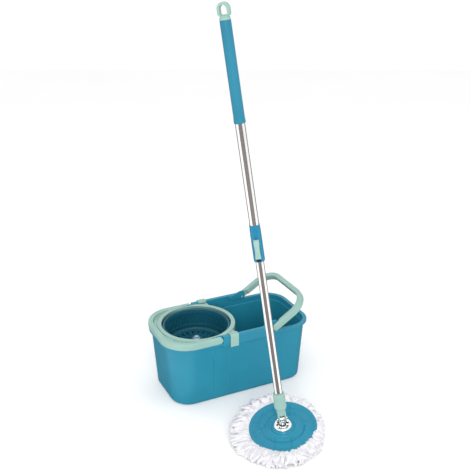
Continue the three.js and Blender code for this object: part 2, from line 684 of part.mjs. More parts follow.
const spinMop = new THREE.Group();
spinMop.name = "spin_mop";
spinMop.add(bucketShell());
spinMop.add(bail("bail_left", LEFT_BAIL), bail("bail_right", RIGHT_BAIL));
spinMop.add(...bailPins());
spinMop.add(basketFrame());
spinMop.add(rimClip("rim_clip_front", -1), rimClip("rim_clip_back", 1));
spinMop.add(spinBasket(), ...basketRunningParts());
spinMop.add(fringe(), fringeRing(), mopPlate(), plateHub(), platePivot());
spinMop.add(hingePin(), forkSocket(), collarNut(), lowerTube(), guideCap());
spinMop.add(driveScrew(), driveNut(), upperTube(), clampHousing());
spinMop.add(lockLever(), leverPin(), grip(), hangingLoop());

export default spinMop;
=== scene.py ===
import json
import bpy
import numpy as np
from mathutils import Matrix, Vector


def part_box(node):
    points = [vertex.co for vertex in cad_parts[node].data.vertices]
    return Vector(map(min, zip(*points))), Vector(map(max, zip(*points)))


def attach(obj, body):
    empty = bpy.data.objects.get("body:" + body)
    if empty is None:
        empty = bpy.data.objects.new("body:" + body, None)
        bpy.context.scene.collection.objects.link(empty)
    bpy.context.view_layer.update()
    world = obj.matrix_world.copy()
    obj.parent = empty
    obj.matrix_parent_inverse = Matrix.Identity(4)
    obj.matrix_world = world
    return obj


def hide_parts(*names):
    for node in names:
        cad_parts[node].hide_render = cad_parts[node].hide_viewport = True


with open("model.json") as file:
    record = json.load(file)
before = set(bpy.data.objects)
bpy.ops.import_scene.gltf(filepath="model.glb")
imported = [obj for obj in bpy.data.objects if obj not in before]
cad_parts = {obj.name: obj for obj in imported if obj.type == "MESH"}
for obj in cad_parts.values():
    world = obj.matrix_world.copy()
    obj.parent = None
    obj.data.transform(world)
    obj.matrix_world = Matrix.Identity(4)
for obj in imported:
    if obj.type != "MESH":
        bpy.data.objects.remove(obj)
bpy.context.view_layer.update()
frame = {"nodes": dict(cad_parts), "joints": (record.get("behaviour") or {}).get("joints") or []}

# ---------------------------------------------------------------------------------------------
# The studio: a camera at standing height in front and to the left, a pale floor, soft light from
# an even surround and one large lamp. Two dark wedges on the floor that only mirror-like surfaces see
# give the chromed tubes the long dark band that polished metal shows in a studio.
mm = 0.001
FLOOR_HALF = 20.0
CAMERA_PLACE = (-0.919, -1.967, 1.364)
CAMERA_AZIMUTH, CAMERA_ELEVATION = np.radians((-25.84, 22.08))
CAMERA_LENS = 60.63
SENSOR_WIDTH = 36.0
SURROUND_LIGHT = 1.07
KEY_PLACE, KEY_AIM, KEY_SIZE, KEY_POWER = (-1.3, -3.0, 2.0), (0.0, -0.1, 0.3), 1.8, 55.0
WEDGE_NEAR, WEDGE_FAR, WEDGE_LIFT = 0.17, 14.0, 0.002
WEDGE_HALF_ANGLES = np.radians((46.0, 66.0))


def linked(name, data):
    """A new object in the scene that holds the data."""
    thing = bpy.data.objects.new(name, data)
    bpy.context.scene.collection.objects.link(thing)
    return thing


def aimed(name, data, place, towards):
    """A camera or lamp at a place, looking towards a point."""
    thing = linked(name, data)
    thing.location = place
    thing.rotation_mode = "QUATERNION"
    thing.rotation_quaternion = (Vector(towards) - Vector(place)).to_track_quat("-Z", "Y")
    return thing


def place_camera():
    """The camera's line of sight has the given azimuth about Z and the given drop below level."""
    lens = bpy.data.cameras.new("camera")
    lens.lens, lens.sensor_width = CAMERA_LENS, SENSOR_WIDTH
    level = np.cos(CAMERA_ELEVATION)
    sight = (-np.sin(CAMERA_AZIMUTH) * level, np.cos(CAMERA_AZIMUTH) * level, -np.sin(CAMERA_ELEVATION))
    target = Vector(CAMERA_PLACE) + Vector(sight)
    bpy.context.scene.camera = aimed("camera", lens, CAMERA_PLACE, target)


def place_lights():
    """An even white surround, and a square lamp in front, a little to the left."""
    world = bpy.data.worlds.new("surround")
    world.use_nodes = True
    background = world.node_tree.nodes["Background"]
    background.inputs["Color"].default_value = (1.0, 1.0, 1.0, 1.0)
    background.inputs["Strength"].default_value = SURROUND_LIGHT
    bpy.context.scene.world = world
    lamp = bpy.data.lights.new("key_lamp", "AREA")
    lamp.size, lamp.energy, lamp.color = KEY_SIZE, KEY_POWER, (1.0, 0.98, 0.95)
    aimed("key_lamp", lamp, KEY_PLACE, KEY_AIM)


def set_inputs(node, settings):
    """A setting such as from_min goes to the input From Min."""
    for name, value in settings.items():
        entry = name.replace("_", " ").title().replace("Ior", "IOR")
        node.inputs[entry].default_value = value


def blank_material(name, **settings):
    """A new material with some of its shader's inputs set, each named in small letters."""
    material = bpy.data.materials.new(name)
    material.use_nodes = True
    set_inputs(material.node_tree.nodes["Principled BSDF"], settings)
    return material


def add_node(material, kind, **settings):
    """A shader node of a kind, with some of its inputs set."""
    node = material.node_tree.nodes.new("ShaderNode" + kind)
    set_inputs(node, settings)
    return node


def add_ramp(material, colours, places=(0.0, 1.0)):
    """A ramp from one colour to another between two places."""
    ramp = material.node_tree.nodes.new("ShaderNodeValToRGB")
    for stop, place, colour in zip(ramp.color_ramp.elements, places, colours):
        stop.position, stop.color = place, (*colour, 1.0)
    return ramp


def wire(material, *wires):
    """Each wire runs from a node's output to a node's input. No target means the shader."""
    shader = material.node_tree.nodes["Principled BSDF"]
    for source, output, target, entry in wires:
        material.node_tree.links.new(source.outputs[output], (target or shader).inputs[entry])


def floor_paint():
    """Matt near-white paint, a little uneven."""
    material = blank_material("floor_paint", roughness=0.85)
    coordinates = add_node(material, "TexCoord")
    cloud = add_node(material, "TexNoise", scale=1.5)
    ramp = add_ramp(material, ((0.94, 0.94, 0.945), (0.97, 0.97, 0.972)))
    wire(material, (coordinates, "Object", cloud, "Vector"), (cloud, "Fac", ramp, "Fac"),
         (ramp, "Color", None, "Base Color"))
    return material


def meshed(name, points, faces, smooth=True):
    """A mesh from points in metres and the faces between them."""
    mesh = bpy.data.meshes.new(name)
    mesh.from_pydata(np.asarray(points, float).tolist(), [], faces)
    mesh.polygons.foreach_set("use_smooth", np.full(len(faces), smooth))
    mesh.update()
    return mesh


def lay_sheet(name, corners, material):
    """A flat four-cornered sheet that belongs to the studio."""
    mesh = meshed(name, corners, [(0, 1, 2, 3)], smooth=False)
    sheet = linked(name, mesh)
    mesh.materials.append(material)
    return sheet


def lay_dark_wedges(centre):
    """Two wedges on the floor, before and behind a point, seen by mirror-like surfaces only."""
    cloth = blank_material("dark_cloth", base_color=(0.15, 0.128, 0.124, 1.0), roughness=1.0)
    reach = np.array((WEDGE_NEAR, WEDGE_NEAR, WEDGE_FAR, WEDGE_FAR))
    for word, facing, half_angle in zip("ab", (-np.pi / 2, np.pi / 2), WEDGE_HALF_ANGLES):
        angles = CAMERA_AZIMUTH + facing + half_angle * np.array((-1, 1, 1, -1))
        x, y = centre[0] + reach * np.cos(angles), centre[1] + reach * np.sin(angles)
        corners = np.stack([x, y, np.full_like(x, WEDGE_LIFT)], 1)
        wedge = lay_sheet("dark_strip_" + word, corners, cloth)
        wedge.visible_camera = wedge.visible_diffuse = wedge.visible_shadow = False
        wedge.visible_transmission = False


joints = {joint["name"]: joint for joint in frame["joints"]}
head_pin = np.array(joints["head_tilt"]["pos_m"])
place_camera()
place_lights()
floor_corners = FLOOR_HALF * np.array([(-1, -1, 0), (1, -1, 0), (1, 1, 0), (-1, 1, 0)])
lay_sheet("floor", floor_corners, floor_paint())
lay_dark_wedges(head_pin)
bpy.context.scene.view_settings.view_transform = "Standard"

# ---------------------------------------------------------------------------------------------
# Bucket: one injection moulding in teal polypropylene about 3 mm thick. Its end flanges are low,
# and its side rims stand 20 mm higher between the handle pivots, where the basket frame clips on.
RIM_FLANGE_CORNERS = [  # half length, half width, corner radii at both ends, centre x, height
    (120, 60, 40, 40, 9, 0),
    (210, 103, 54, 46, 9, 0),
    (214.7, 107.3, 58, 50, 9, 6),
    (229.8, 116.8, 76, 62, 8, 184),
    (230.4, 117.4, 76, 62, 8, 190),
    (238, 125, 83, 67, 8, 190),
    (238, 125, 83, 67, 8, 197.2),
    (226.4, 113.4, 72, 58, 8, 197.2),
    (226.2, 113.2, 72, 58, 8, 180),
    (224.8, 111.8, 70, 57, 8, 178),
    (211.5, 104.1, 55, 47, 9, 9),
    (204, 96.6, 50, 42, 9, 3.2),
    (120, 60, 40, 40, 9, 3.2),
]
SIDE_RIM_CHANGES = {4: (116.9, 185), 5: (125, 185), 6: (125, 217), 7: (113.6, 217)}
EDGE_RADII = (1, 5, 5, 4, 1.2, 1.6, 2.2, 2.0, 1.2, 1.2, 8, 8, 1)
SIDE_RIM_FROM, SIDE_RIM_TO, RIM_STEP = -63.5, 100.5, 1.6
BAND_FROM, BAND_TO, BAND_LOW, BAND_HIGH, BAND_DEPTH = -91, -43, 25, 172, 1.2
BAND_SIDE_EASE, BAND_END_EASE = 1, 5
END_POINTS, BEND_POINTS, SIDE_STEP, WALL_STEP = 10, 15, 4.0, 7.0
TEAL = (0.017, 0.222, 0.330)


def smooth_step(value, low, high):
    """0 below low, 1 above high, and an S-curve between them."""
    t = np.clip((value - low) / (high - low), 0, 1)
    return t * t * (3 - 2 * t)


def unit(vectors):
    """The same directions, each one long."""
    return vectors / np.linalg.norm(vectors, axis=-1, keepdims=True)


def rounded(corners, radii, closed, steps=5):
    """Each corner becomes a curve that leaves its two straight runs a radius away from it, blended from
    the run before, the corner and the run after. One more point just outside keeps the runs flat."""
    corners = np.asarray(corners, float)
    radii = np.broadcast_to(np.asarray(radii, float), len(corners))[:, None]
    back = np.roll(corners, 1, axis=0) - corners
    ahead = np.roll(corners, -1, axis=0) - corners
    back_cut = back * np.minimum(radii / np.linalg.norm(back, axis=1, keepdims=True), 0.45)
    ahead_cut = ahead * np.minimum(radii / np.linalg.norm(ahead, axis=1, keepdims=True), 0.45)
    t = np.linspace(0, 1, steps)[None, :, None]
    curve = corners[:, None] + (1 - t) ** 2 * back_cut[:, None] + t**2 * ahead_cut[:, None]
    lead = (corners + 1.1 * back_cut)[:, None]
    tail = (corners + 1.1 * ahead_cut)[:, None]
    curves = np.concatenate([lead, curve, tail], axis=1)
    if closed:
        return curves.reshape(-1, corners.shape[1])
    inner = curves[1:-1].reshape(-1, corners.shape[1])
    return np.concatenate([corners[:1], inner, corners[-1:]])


def divided(points, step):
    """The same run of points with long stretches cut into equal parts no longer than step."""
    gaps = np.linalg.norm(np.diff(points, axis=0), axis=1)
    parts = np.maximum(1, np.ceil(gaps / step)).astype(int)
    owner = np.repeat(np.arange(len(parts)), parts)
    within = (np.arange(len(owner)) - np.repeat(np.cumsum(parts) - parts, parts)) / parts[owner]
    run = points[owner] + (points[owner + 1] - points[owner]) * within[:, None]
    return np.concatenate([run, points[-1:]])


def divided_loop(points, step):
    """The same for a run of points that closes on itself."""
    return divided(np.concatenate([points, points[:1]]), step)[:-1]


def skin(name, grid, body, material, replaced=(), wrap_rows=False):
    """A grid of points, rows by columns, becomes a closed mesh: columns always meet, and the first and
    last rows meet or get a flat face each. The sum of face volumes tells which way is out."""
    rows, columns = grid.shape[:2]
    points = grid.reshape(-1, 3) * mm
    row = np.arange(rows if wrap_rows else rows - 1)[:, None]
    column = np.arange(columns)[None, :]
    beside = (column + 1) % columns
    above = ((row + 1) % rows) * columns
    quads = np.stack([row * columns + column, row * columns + beside, above + beside, above + column], -1)
    quads = quads.reshape(-1, 4)
    corner = points[quads]
    pull = np.einsum("ij,ij->i", corner[:, 0], np.cross(corner[:, 1], corner[:, 2])).sum()
    pull += np.einsum("ij,ij->i", corner[:, 0], np.cross(corner[:, 2], corner[:, 3])).sum()
    faces = quads.tolist()
    if not wrap_rows:
        for ring in (np.arange(columns)[::-1], (rows - 1) * columns + np.arange(columns)):
            hub = points[ring].mean(axis=0)
            edge = points[ring]
            pull += np.einsum("j,ij->i", hub, np.cross(edge, np.roll(edge, -1, axis=0))).sum()
            faces.append(ring.tolist())
    if pull < 0:
        faces = [face[::-1] for face in faces]
    return fitted(name, meshed(name, points, faces), body, material, replaced)


def fitted(name, mesh, body, material, replaced=()):
    """The mesh as a piece of the object, on its body, with its material and the node it stands for."""
    piece = linked(name, mesh)
    mesh.materials.append(material)
    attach(piece, body)
    if replaced:
        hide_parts(*replaced)
    return piece


def moulded_plastic(name, colour, roughness=0.36, grain=0.05, wear=0.10):
    """Coloured polypropylene: the pigment clouds slightly, a fine spark-eroded grain breaks the gloss, and
    faint long scuffs run along the part, lighter than the rest."""
    colour = np.array(colour)
    material = blank_material(name, ior=1.49, specular_ior_level=0.3)
    coordinates = add_node(material, "TexCoord")
    cloud = add_node(material, "TexNoise", scale=9.0, detail=5.0)
    pigment = add_ramp(material, (colour * 0.93, np.minimum(colour * 1.07, 1.0)), (0.3, 0.7))
    stretch = add_node(material, "Mapping", scale=(14.0, 14.0, 420.0))
    scuffs = add_node(material, "TexNoise", scale=3.0, detail=8.0)
    scuff_edge = add_node(material, "MapRange", from_min=0.62, from_max=0.80, to_max=wear)
    scuffed = add_node(material, "MixRGB", color2=(*np.minimum(colour * 1.5 + 0.08, 1.0), 1.0))
    gloss = add_node(material, "MapRange", to_min=roughness - 0.05, to_max=roughness + 0.08)
    fine = add_node(material, "TexNoise", scale=1600.0, detail=2.0)
    bump = add_node(material, "Bump", strength=grain, distance=0.0004)
    for target in (cloud, fine, stretch):
        wire(material, (coordinates, "Object", target, "Vector"))
    wire(material, (stretch, "Vector", scuffs, "Vector"), (scuffs, "Fac", scuff_edge, "Value"),
         (cloud, "Fac", pigment, "Fac"), (pigment, "Color", scuffed, "Color1"),
         (scuff_edge, "Result", scuffed, "Fac"), (scuffed, "Color", None, "Base Color"),
         (cloud, "Fac", gloss, "Value"), (gloss, "Result", None, "Roughness"),
         (fine, "Fac", bump, "Height"), (bump, "Normal", None, "Normal"))
    return material


def outline_columns(side_fractions):
    """How each point round a long rounded box follows from its half sides and its two corner radii:
    x = centre + X . (half length, left radius, right radius), y = Y . (half width, left, right)."""
    across = np.linspace(0, 1, END_POINTS)[:-1]
    quarter = np.linspace(0, np.pi / 2, BEND_POINTS)[:-1]
    one, none = np.ones, np.zeros
    n, q, s = len(across), len(quarter), len(side_fractions)
    blocks_x, blocks_y = [], []

    def add(x_parts, y_parts):
        blocks_x.append(np.stack(np.broadcast_arrays(*x_parts), 1))
        blocks_y.append(np.stack(np.broadcast_arrays(*y_parts), 1))

    span = 2 * across - 1
    add((one(n), none(n), none(n)), (span, none(n), -span))
    add((one(q), none(q), np.cos(quarter) - 1), (one(q), none(q), np.sin(quarter) - 1))
    run = side_fractions[::-1]
    add((2 * run - 1, 1 - run, -run), (one(s), none(s), none(s)))
    turn = quarter + np.pi / 2
    add((-one(q), 1 + np.cos(turn), none(q)), (one(q), np.sin(turn) - 1, none(q)))
    add((-one(n), none(n), none(n)), (-span, span, none(n)))
    turn = quarter + np.pi
    add((-one(q), 1 + np.cos(turn), none(q)), (-one(q), 1 + np.sin(turn), none(q)))
    run = side_fractions
    add((2 * run - 1, 1 - run, -run), (-one(s), none(s), none(s)))
    turn = quarter + 1.5 * np.pi
    add((one(q), none(q), np.cos(turn) - 1), (-one(q), none(q), 1 + np.sin(turn)))
    return np.concatenate(blocks_x), np.concatenate(blocks_y)


def ring_points(rings, columns):
    """Every ring, a row of six sizes, as points round its rounded box."""
    x = rings[:, 4:5] + rings[:, [0, 2, 3]] @ columns[0].T
    y = rings[:, [1, 2, 3]] @ columns[1].T
    return np.stack([x, y, np.broadcast_to(rings[:, 5:6], x.shape)], -1)


def bucket_grid():
    """Two rounded profiles, one over the low flange and one over the high side rim, are carried round
    the outline. The second takes over along the sides, and a shallow band is pressed into each side."""
    low = np.array(RIM_FLANGE_CORNERS, float)
    high = low.copy()
    for row, (half_width, height) in SIDE_RIM_CHANGES.items():
        high[row, [1, 5]] = half_width, height
    flange = low[6]
    left, right = flange[4] - flange[0] + flange[2], flange[4] + flange[0] - flange[3]
    marks = np.array((BAND_FROM, BAND_TO, SIDE_RIM_FROM, SIDE_RIM_TO))
    close = (marks[:, None] + np.linspace(-3, 3, 13)).ravel()
    stations = np.unique(np.concatenate([np.arange(left, right, SIDE_STEP), close]))
    columns = outline_columns((stations - left) / (right - left))
    pair = rounded(np.concatenate([low, high], axis=1), EDGE_RADII, closed=False, steps=6)
    pair = divided(pair, WALL_STEP)
    low_points = ring_points(pair[:, :6], columns)
    high_points = ring_points(pair[:, 6:], columns)
    x, y, z = np.moveaxis(low_points, -1, 0)
    edge = RIM_STEP / 2
    along = smooth_step(x, SIDE_RIM_FROM - edge, SIDE_RIM_FROM + edge)
    along = along * (1 - smooth_step(x, SIDE_RIM_TO - edge, SIDE_RIM_TO + edge))
    grid = low_points + along[..., None] * (high_points - low_points)
    under_flange = low[4, 5] - 0.1
    outer_wall = (np.arange(len(pair)) < np.argmax(pair[:, 5] >= under_flange))[:, None]
    ease, end_ease = BAND_SIDE_EASE, BAND_END_EASE
    band = smooth_step(x, BAND_FROM - ease, BAND_FROM + ease)
    band = band * (1 - smooth_step(x, BAND_TO - ease, BAND_TO + ease))
    band = band * smooth_step(z, BAND_LOW, BAND_LOW + end_ease)
    band = band * (1 - smooth_step(z, BAND_HIGH - end_ease, BAND_HIGH))
    side = (np.abs(y) > 0.5 * np.abs(y).max(axis=1, keepdims=True)) * outer_wall
    grid[..., 1] -= np.sign(y) * band * side * BAND_DEPTH
    return grid


def slab(outline, depth_from, depth_to, edge, steps=4):
    """A flat plate: its outline, drawn in a plane, at two depths, drawn in towards its middle near both
    faces by a quarter circle, so that its edges are round. Returns depth, across and up, by row."""
    outline = np.asarray(outline, float)
    inwards = unit(outline.mean(axis=0) - outline)
    turn = np.linspace(0, np.pi / 2, steps)
    inset, sink = edge * (1 - np.sin(turn)), edge * (1 - np.cos(turn))
    inset = np.concatenate([inset, inset[::-1]])
    depth = np.concatenate([depth_from + sink, depth_to - sink[::-1]])
    flat = outline[None] + inwards[None] * inset[:, None, None]
    return np.concatenate([np.broadcast_to(depth[:, None, None], flat.shape[:2] + (1,)), flat], -1)


teal_plastic = moulded_plastic("teal_plastic", TEAL, roughness=0.34)
skin("bucket_moulding", bucket_grid(), "bucket", teal_plastic, ["bucket_shell"])

# Ears: teal lugs moulded inside the rim at each handle pivot. They rise from the side rim in a short
# ramp and carry the pivot pins. The two at the water end stand 10 mm above the rim.
EAR_FROM_Y, EAR_TO_Y, EAR_EDGE = 109.7, 113.9, 0.8
EAR_KINDS = (("left", 1, 217), ("right", -1, 227))  # end, side the ramp is on, height of the top
pivots = {end: np.array(joints[end + "_bail_fold"]["pos_m"]) / mm for end in ("left", "right")}


def ear_outline(pivot_x, inward, top):
    """Up from inside the wall, along a ramp to a short flat top, round the pivot and down."""
    corners = [(46, 201), (46, 213), (38, 215), (7, top), (-6, top), (-9.5, top - 5), (-9.5, 199)]
    flat = rounded(np.array(corners, float), (1, 2, 3, 2.5, 3, 3, 1), closed=True)
    return np.stack([pivot_x + inward * flat[:, 0], flat[:, 1]], 1)


for end, inward, top in EAR_KINDS:
    for side, word in ((-1, "front"), (1, "back")):
        plate = slab(ear_outline(pivots[end][0], inward, top), EAR_FROM_Y, EAR_TO_Y, EAR_EDGE)
        plate = plate[..., [1, 0, 2]] * (1, side, 1)
        skin(f"ear_{end}_{word}", plate, "bucket", teal_plastic)

# Spindle post: a tapered hollow post with four webs, moulded into the bucket's floor under the basket.
spin_axis = np.array(joints["basket_spin"]["pos_m"]) / mm
ROUND, POST_WEBS, WEB_HALF_THICK, WEB_EDGE = 96, 4, 1.5, 0.6


def turned(profile, origin=(0, 0, 0), frame_axes=np.eye(3), columns=ROUND, swell=None):
    """A profile of radius and height turned about an axis. swell(radius, height, angle) gives how far
    each point moves outwards."""
    angle = np.linspace(0, 2 * np.pi, columns, endpoint=False)
    radius = np.repeat(profile[:, :1], columns, axis=1)
    height = np.repeat(profile[:, 1:2], columns, axis=1)
    if swell is not None:
        radius = radius + swell(radius, height, angle[None, :])
    local = np.stack([radius * np.cos(angle), radius * np.sin(angle), height], -1)
    return local @ np.asarray(frame_axes) + np.asarray(origin)


post_profile = rounded([(1, 3), (31, 3), (15, 60), (12, 125), (1, 125)], (0, 3, 6, 1.5, 0), closed=False)
under_basket = (spin_axis[0], 0, 0)
skin("spindle_post", turned(post_profile, under_basket), "bucket", teal_plastic)
web_corners = np.array([(-28, 3), (28, 3), (26, 46), (13, 60), (-13, 60), (-26, 46)], float)
for turn in range(POST_WEBS):
    web = slab(rounded(web_corners, 2, closed=True), -WEB_HALF_THICK, WEB_HALF_THICK, WEB_EDGE)
    angle = turn * np.pi / POST_WEBS
    x = web[..., 1] * np.cos(angle) - web[..., 0] * np.sin(angle)
    y = web[..., 1] * np.sin(angle) + web[..., 0] * np.cos(angle)
    placed = np.stack([x + spin_axis[0], y, web[..., 2]], -1)
    skin(f"post_web_{turn}", placed, "bucket", teal_plastic)

# ---------------------------------------------------------------------------------------------
# Bail handles: mint polypropylene bars, hollow underneath, bent round each end of the rim. Each turns
# on two pins and lies on the end flange when it is folded.
MINT = (0.270, 0.440, 0.396)
BAR_WIDTH, BAR_HALF_HEIGHT, BAR_WALL, BAR_OUTER_Y, BOSS_WIDTH = 16, 10, 3, 126, 11.6
BAR_ENDS = {"left": (156, 84, 0.0), "right": (135, 68, np.radians(32.0))}  # reach, bend, raised by
GROOVE_FROM, GROOVE_TO, BOSS_TO, BAR_FROM, GROOVE_LIP = 27, 31, 18, 26, 1.2


def bar_section():
    """A rounded rectangle, distance in from the outside and height, with a groove open underneath."""
    wide, high, wall = BAR_WIDTH, BAR_HALF_HEIGHT, BAR_WALL
    corners = [(0, -high), (0, high), (wide, high), (wide, -high), (wide - wall, -high)]
    corners += [(wide - wall, high - wall), (wall, high - wall), (wall, -high)]
    return rounded(corners, (1, 5.5, 5.5, 1, 0.8, 2, 2, 0.8), closed=True, steps=6)


def bar_stations(reach, bend):
    """Places along the bar: distance from the pivot, how far the bend has turned, and its centre."""
    tip = -BAR_HALF_HEIGHT * np.cos(np.linspace(0.05, np.pi / 2, 12))
    neck = np.linspace(0.8, 32, 30)
    arm = np.linspace(33, reach - bend, 14)
    x = np.concatenate([tip, neck, arm])
    turn = np.linspace(0, np.pi / 2, 20)[1:]
    centre_y = BAR_OUTER_Y - bend
    cross = np.linspace(-centre_y, centre_y, 16)[1:-1]
    straight = np.stack([x, np.full(len(x), -centre_y), np.zeros(len(x))], 1)
    corner = np.stack([np.full(len(turn), reach - bend), np.full(len(turn), -centre_y), turn], 1)
    bar = np.stack([np.full(len(cross), reach - bend), cross, np.full(len(cross), np.pi / 2)], 1)
    half = np.concatenate([straight, corner])
    other = half[::-1] * (1, -1, -1) + (0, 0, np.pi)
    return np.concatenate([half, bar, other])


def bail_grid(end):
    """The section carried along the stations. Near the pivot its groove closes, it narrows to the boss,
    and it ends in a half circle about the pin."""
    reach, bend, raised = BAR_ENDS[end]
    section = bar_section()
    station = bar_stations(reach, bend)
    inset, up = section[:, 0][:, None], section[:, 1][:, None]
    x, centre_y, turn = station.T
    groove = (inset > GROOVE_LIP) & (inset < BAR_WIDTH - GROOVE_LIP) & (up < BAR_HALF_HEIGHT - BAR_WALL + 0.2)
    opened = smooth_step(x, GROOVE_FROM, GROOVE_TO)
    up = np.where(groove, -BAR_HALF_HEIGHT + (up + BAR_HALF_HEIGHT) * opened, up)
    end_height = np.sqrt(np.clip(1 - np.minimum(x, 0) ** 2 / BAR_HALF_HEIGHT**2, 0.0004, 1))
    width = BOSS_WIDTH + (BAR_WIDTH - BOSS_WIDTH) * smooth_step(x, BOSS_TO, BAR_FROM)
    up = up * end_height
    inset = inset * width / BAR_WIDTH
    out = bend - inset
    local_x = x + out * np.sin(turn)
    local_y = centre_y - out * np.cos(turn)
    away = 1 if end == "right" else -1
    swung_x = local_x * np.cos(raised) - up * np.sin(raised)
    swung_z = local_x * np.sin(raised) + up * np.cos(raised)
    pivot = pivots[end]
    grid = np.stack([pivot[0] + away * swung_x, local_y, pivot[2] + swung_z], -1)
    return np.swapaxes(grid, 0, 1)


mint_plastic = moulded_plastic("mint_plastic", MINT, roughness=0.42, grain=0.06)
for end in ("left", "right"):
    skin("handle_" + end, bail_grid(end), end + "_bail", mint_plastic, ["bail_" + end])

# Pivot pins: mint studs with a low domed head, pressed through the bar's boss and the ear, where their
# end stands a little proud.
PIN_PROUD = 0.8
pin_profile = [(0.3, 0), (3, 0), (3, 17.7), (5.4, 17.7), (5.4, 18.4), (3.6, 19.8), (0.3, 20.0)]
pin_profile = rounded(pin_profile, (0, 0.6, 0.2, 0.3, 0.5, 1, 0), closed=False)
for end in ("left", "right"):
    for side, word in ((-1, "front"), (1, "back")):
        axes = ((1, 0, 0), (0, 0, 1), (0, side, 0))
        start = pivots[end] + (0, side * (EAR_FROM_Y - PIN_PROUD), 0)
        studs = turned(pin_profile, start, axes, columns=40)
        skin(f"pin_{end}_{word}", studs, "bucket", mint_plastic, [f"bail_pin_{end}_{word}"])

# ---------------------------------------------------------------------------------------------
# Basket frame: a mint moulding that drops into the basket end of the bucket. Its round lip holds the
# basket upright, a tray fills the corners, and a short wall closes it towards the water.
LIP_IN, LIP_UNDER, LIP_OUT, LIP_TOP, LIP_BOTTOM = 105.4, 112.5, 118, 216, 194
TRAY_TOP, TRAY_BOTTOM = 212.4, 209.8
TRAY_HALF, TRAY_BEND, TRAY_CENTRE_X, TRAY_END_X = (215.0, 109.3), 68, 0.7, -14
HALVINGS, BEYOND_ALL, AHEAD_LEAST = 30, 400.0, 0.05


def tray_reach(angle):
    """Distance from the ring's middle to the tray's edge, found by halving an interval again and again
    against the rounded box's own distance formula."""
    near, far = np.zeros_like(angle), np.full_like(angle, 300.0)
    half = np.array(TRAY_HALF) - TRAY_BEND
    for _ in range(HALVINGS):
        middle = (near + far) / 2
        x = spin_axis[0] + middle * np.cos(angle) - TRAY_CENTRE_X
        y = middle * np.sin(angle)
        beyond = np.stack([np.abs(x) - half[0], np.abs(y) - half[1]])
        gap = np.linalg.norm(np.maximum(beyond, 0), axis=0) + np.minimum(beyond.max(axis=0), 0) - TRAY_BEND
        near, far = np.where(gap < 0, middle, near), np.where(gap < 0, far, middle)
    return near


def frame_grid():
    """Round the ring: up its wall, in under the overhanging lip, over the lip, down a step to the tray,
    out to the tray's edge and back. Where there is no tray the step and the edge fall together."""
    angle = np.linspace(0, 2 * np.pi, 360, endpoint=False)
    limit = tray_reach(angle)
    lip = np.minimum(LIP_OUT, limit)
    ahead = np.cos(angle)
    to_end = (TRAY_END_X - spin_axis[0]) / np.maximum(ahead, AHEAD_LEAST)
    to_end = np.where(ahead > AHEAD_LEAST, to_end, BEYOND_ALL)
    edge = np.maximum(lip + 0.4, np.minimum(limit, to_end))
    inside, under = np.full_like(angle, LIP_IN), np.minimum(LIP_UNDER, lip - 2.8)
    wall = under + 2.2
    heights = (LIP_BOTTOM, LIP_TOP - 3, LIP_TOP - 2.2, LIP_TOP, LIP_TOP, TRAY_TOP, TRAY_TOP, TRAY_BOTTOM)
    heights += (TRAY_BOTTOM, LIP_BOTTOM)
    reaches = (under, under, inside, inside, lip, lip, edge, edge, wall, wall)
    corners = np.concatenate([np.stack(reaches), np.array(heights, float)[:, None]], axis=1)
    rows = rounded(corners, 24, closed=True, steps=5)
    radius, height = rows[:, :-1], np.repeat(rows[:, -1:], len(angle), axis=1)
    return np.stack([spin_axis[0] + radius * np.cos(angle), radius * np.sin(angle), height], -1)


skin("frame_moulding", frame_grid(), "frame_assembly", mint_plastic, ["basket_frame"],
     wrap_rows=True)
wall_section = rounded([(115, 189), (115, 211.5), (117.6, 211.5), (118, 189)], 0.6, closed=True)
wall_angle = np.linspace(-0.86, 0.86, 60)
wall_radius, wall_height = wall_section[:, :1], wall_section[:, 1:] + 0 * wall_angle
wall_x, wall_y = spin_axis[0] + wall_radius * np.cos(wall_angle), wall_radius * np.sin(wall_angle)
frame_wall = np.swapaxes(np.stack([wall_x, wall_y, wall_height], -1), 0, 1)
skin("frame_wall", frame_wall, "frame_assembly", mint_plastic)

# Teeth on the tray: a row of seven short ribs at both sides of the ring's outer end.
TEETH, TOOTH_REACH, TOOTH_FIRST, TOOTH_STEP = 7, 125, 0.62, 0.09
tooth_outline = rounded([(-6, -1), (6, -1), (6, 1), (-6, 1)], 0.5, closed=True)
tooth = slab(tooth_outline, TRAY_TOP - 0.2, TRAY_TOP + 2.2, 0.5)
for side, word in ((-1, "a"), (1, "b")):
    for count in range(TEETH):
        angle = np.pi - side * (TOOTH_FIRST + count * TOOTH_STEP)
        along = np.array((np.cos(angle), np.sin(angle)))
        across = np.array((-along[1], along[0]))
        flat = (TOOTH_REACH + tooth[..., 1:2]) * along + tooth[..., 2:3] * across + (spin_axis[0], 0)
        rib = np.concatenate([flat, tooth[..., :1]], -1)
        skin(f"frame_tooth_{count}_{word}", rib, "frame_assembly", mint_plastic)

# Rim clips: mint hooks that snap over the side rims and hold the frame down. Each has a lip at its
# foot to pull by and two slots in its top where the mould's core passed through.
clip_low, clip_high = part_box("rim_clip_front")
clip_middle = (clip_low[0] + clip_high[0]) / 2 / mm
CLIP_HALF, CLIP_TOP, CLIP_FOOT, CLIP_IN, CLIP_OUT = 13.0, 220.3, 179.3, 110.2, 128.3
SLOT_APART, SLOT_HALF_LONG, SLOT_Y, SLOT_HALF_WIDE, SLOT_DEPTH = 6, 2.6, 117.5, 2.2, 2.5


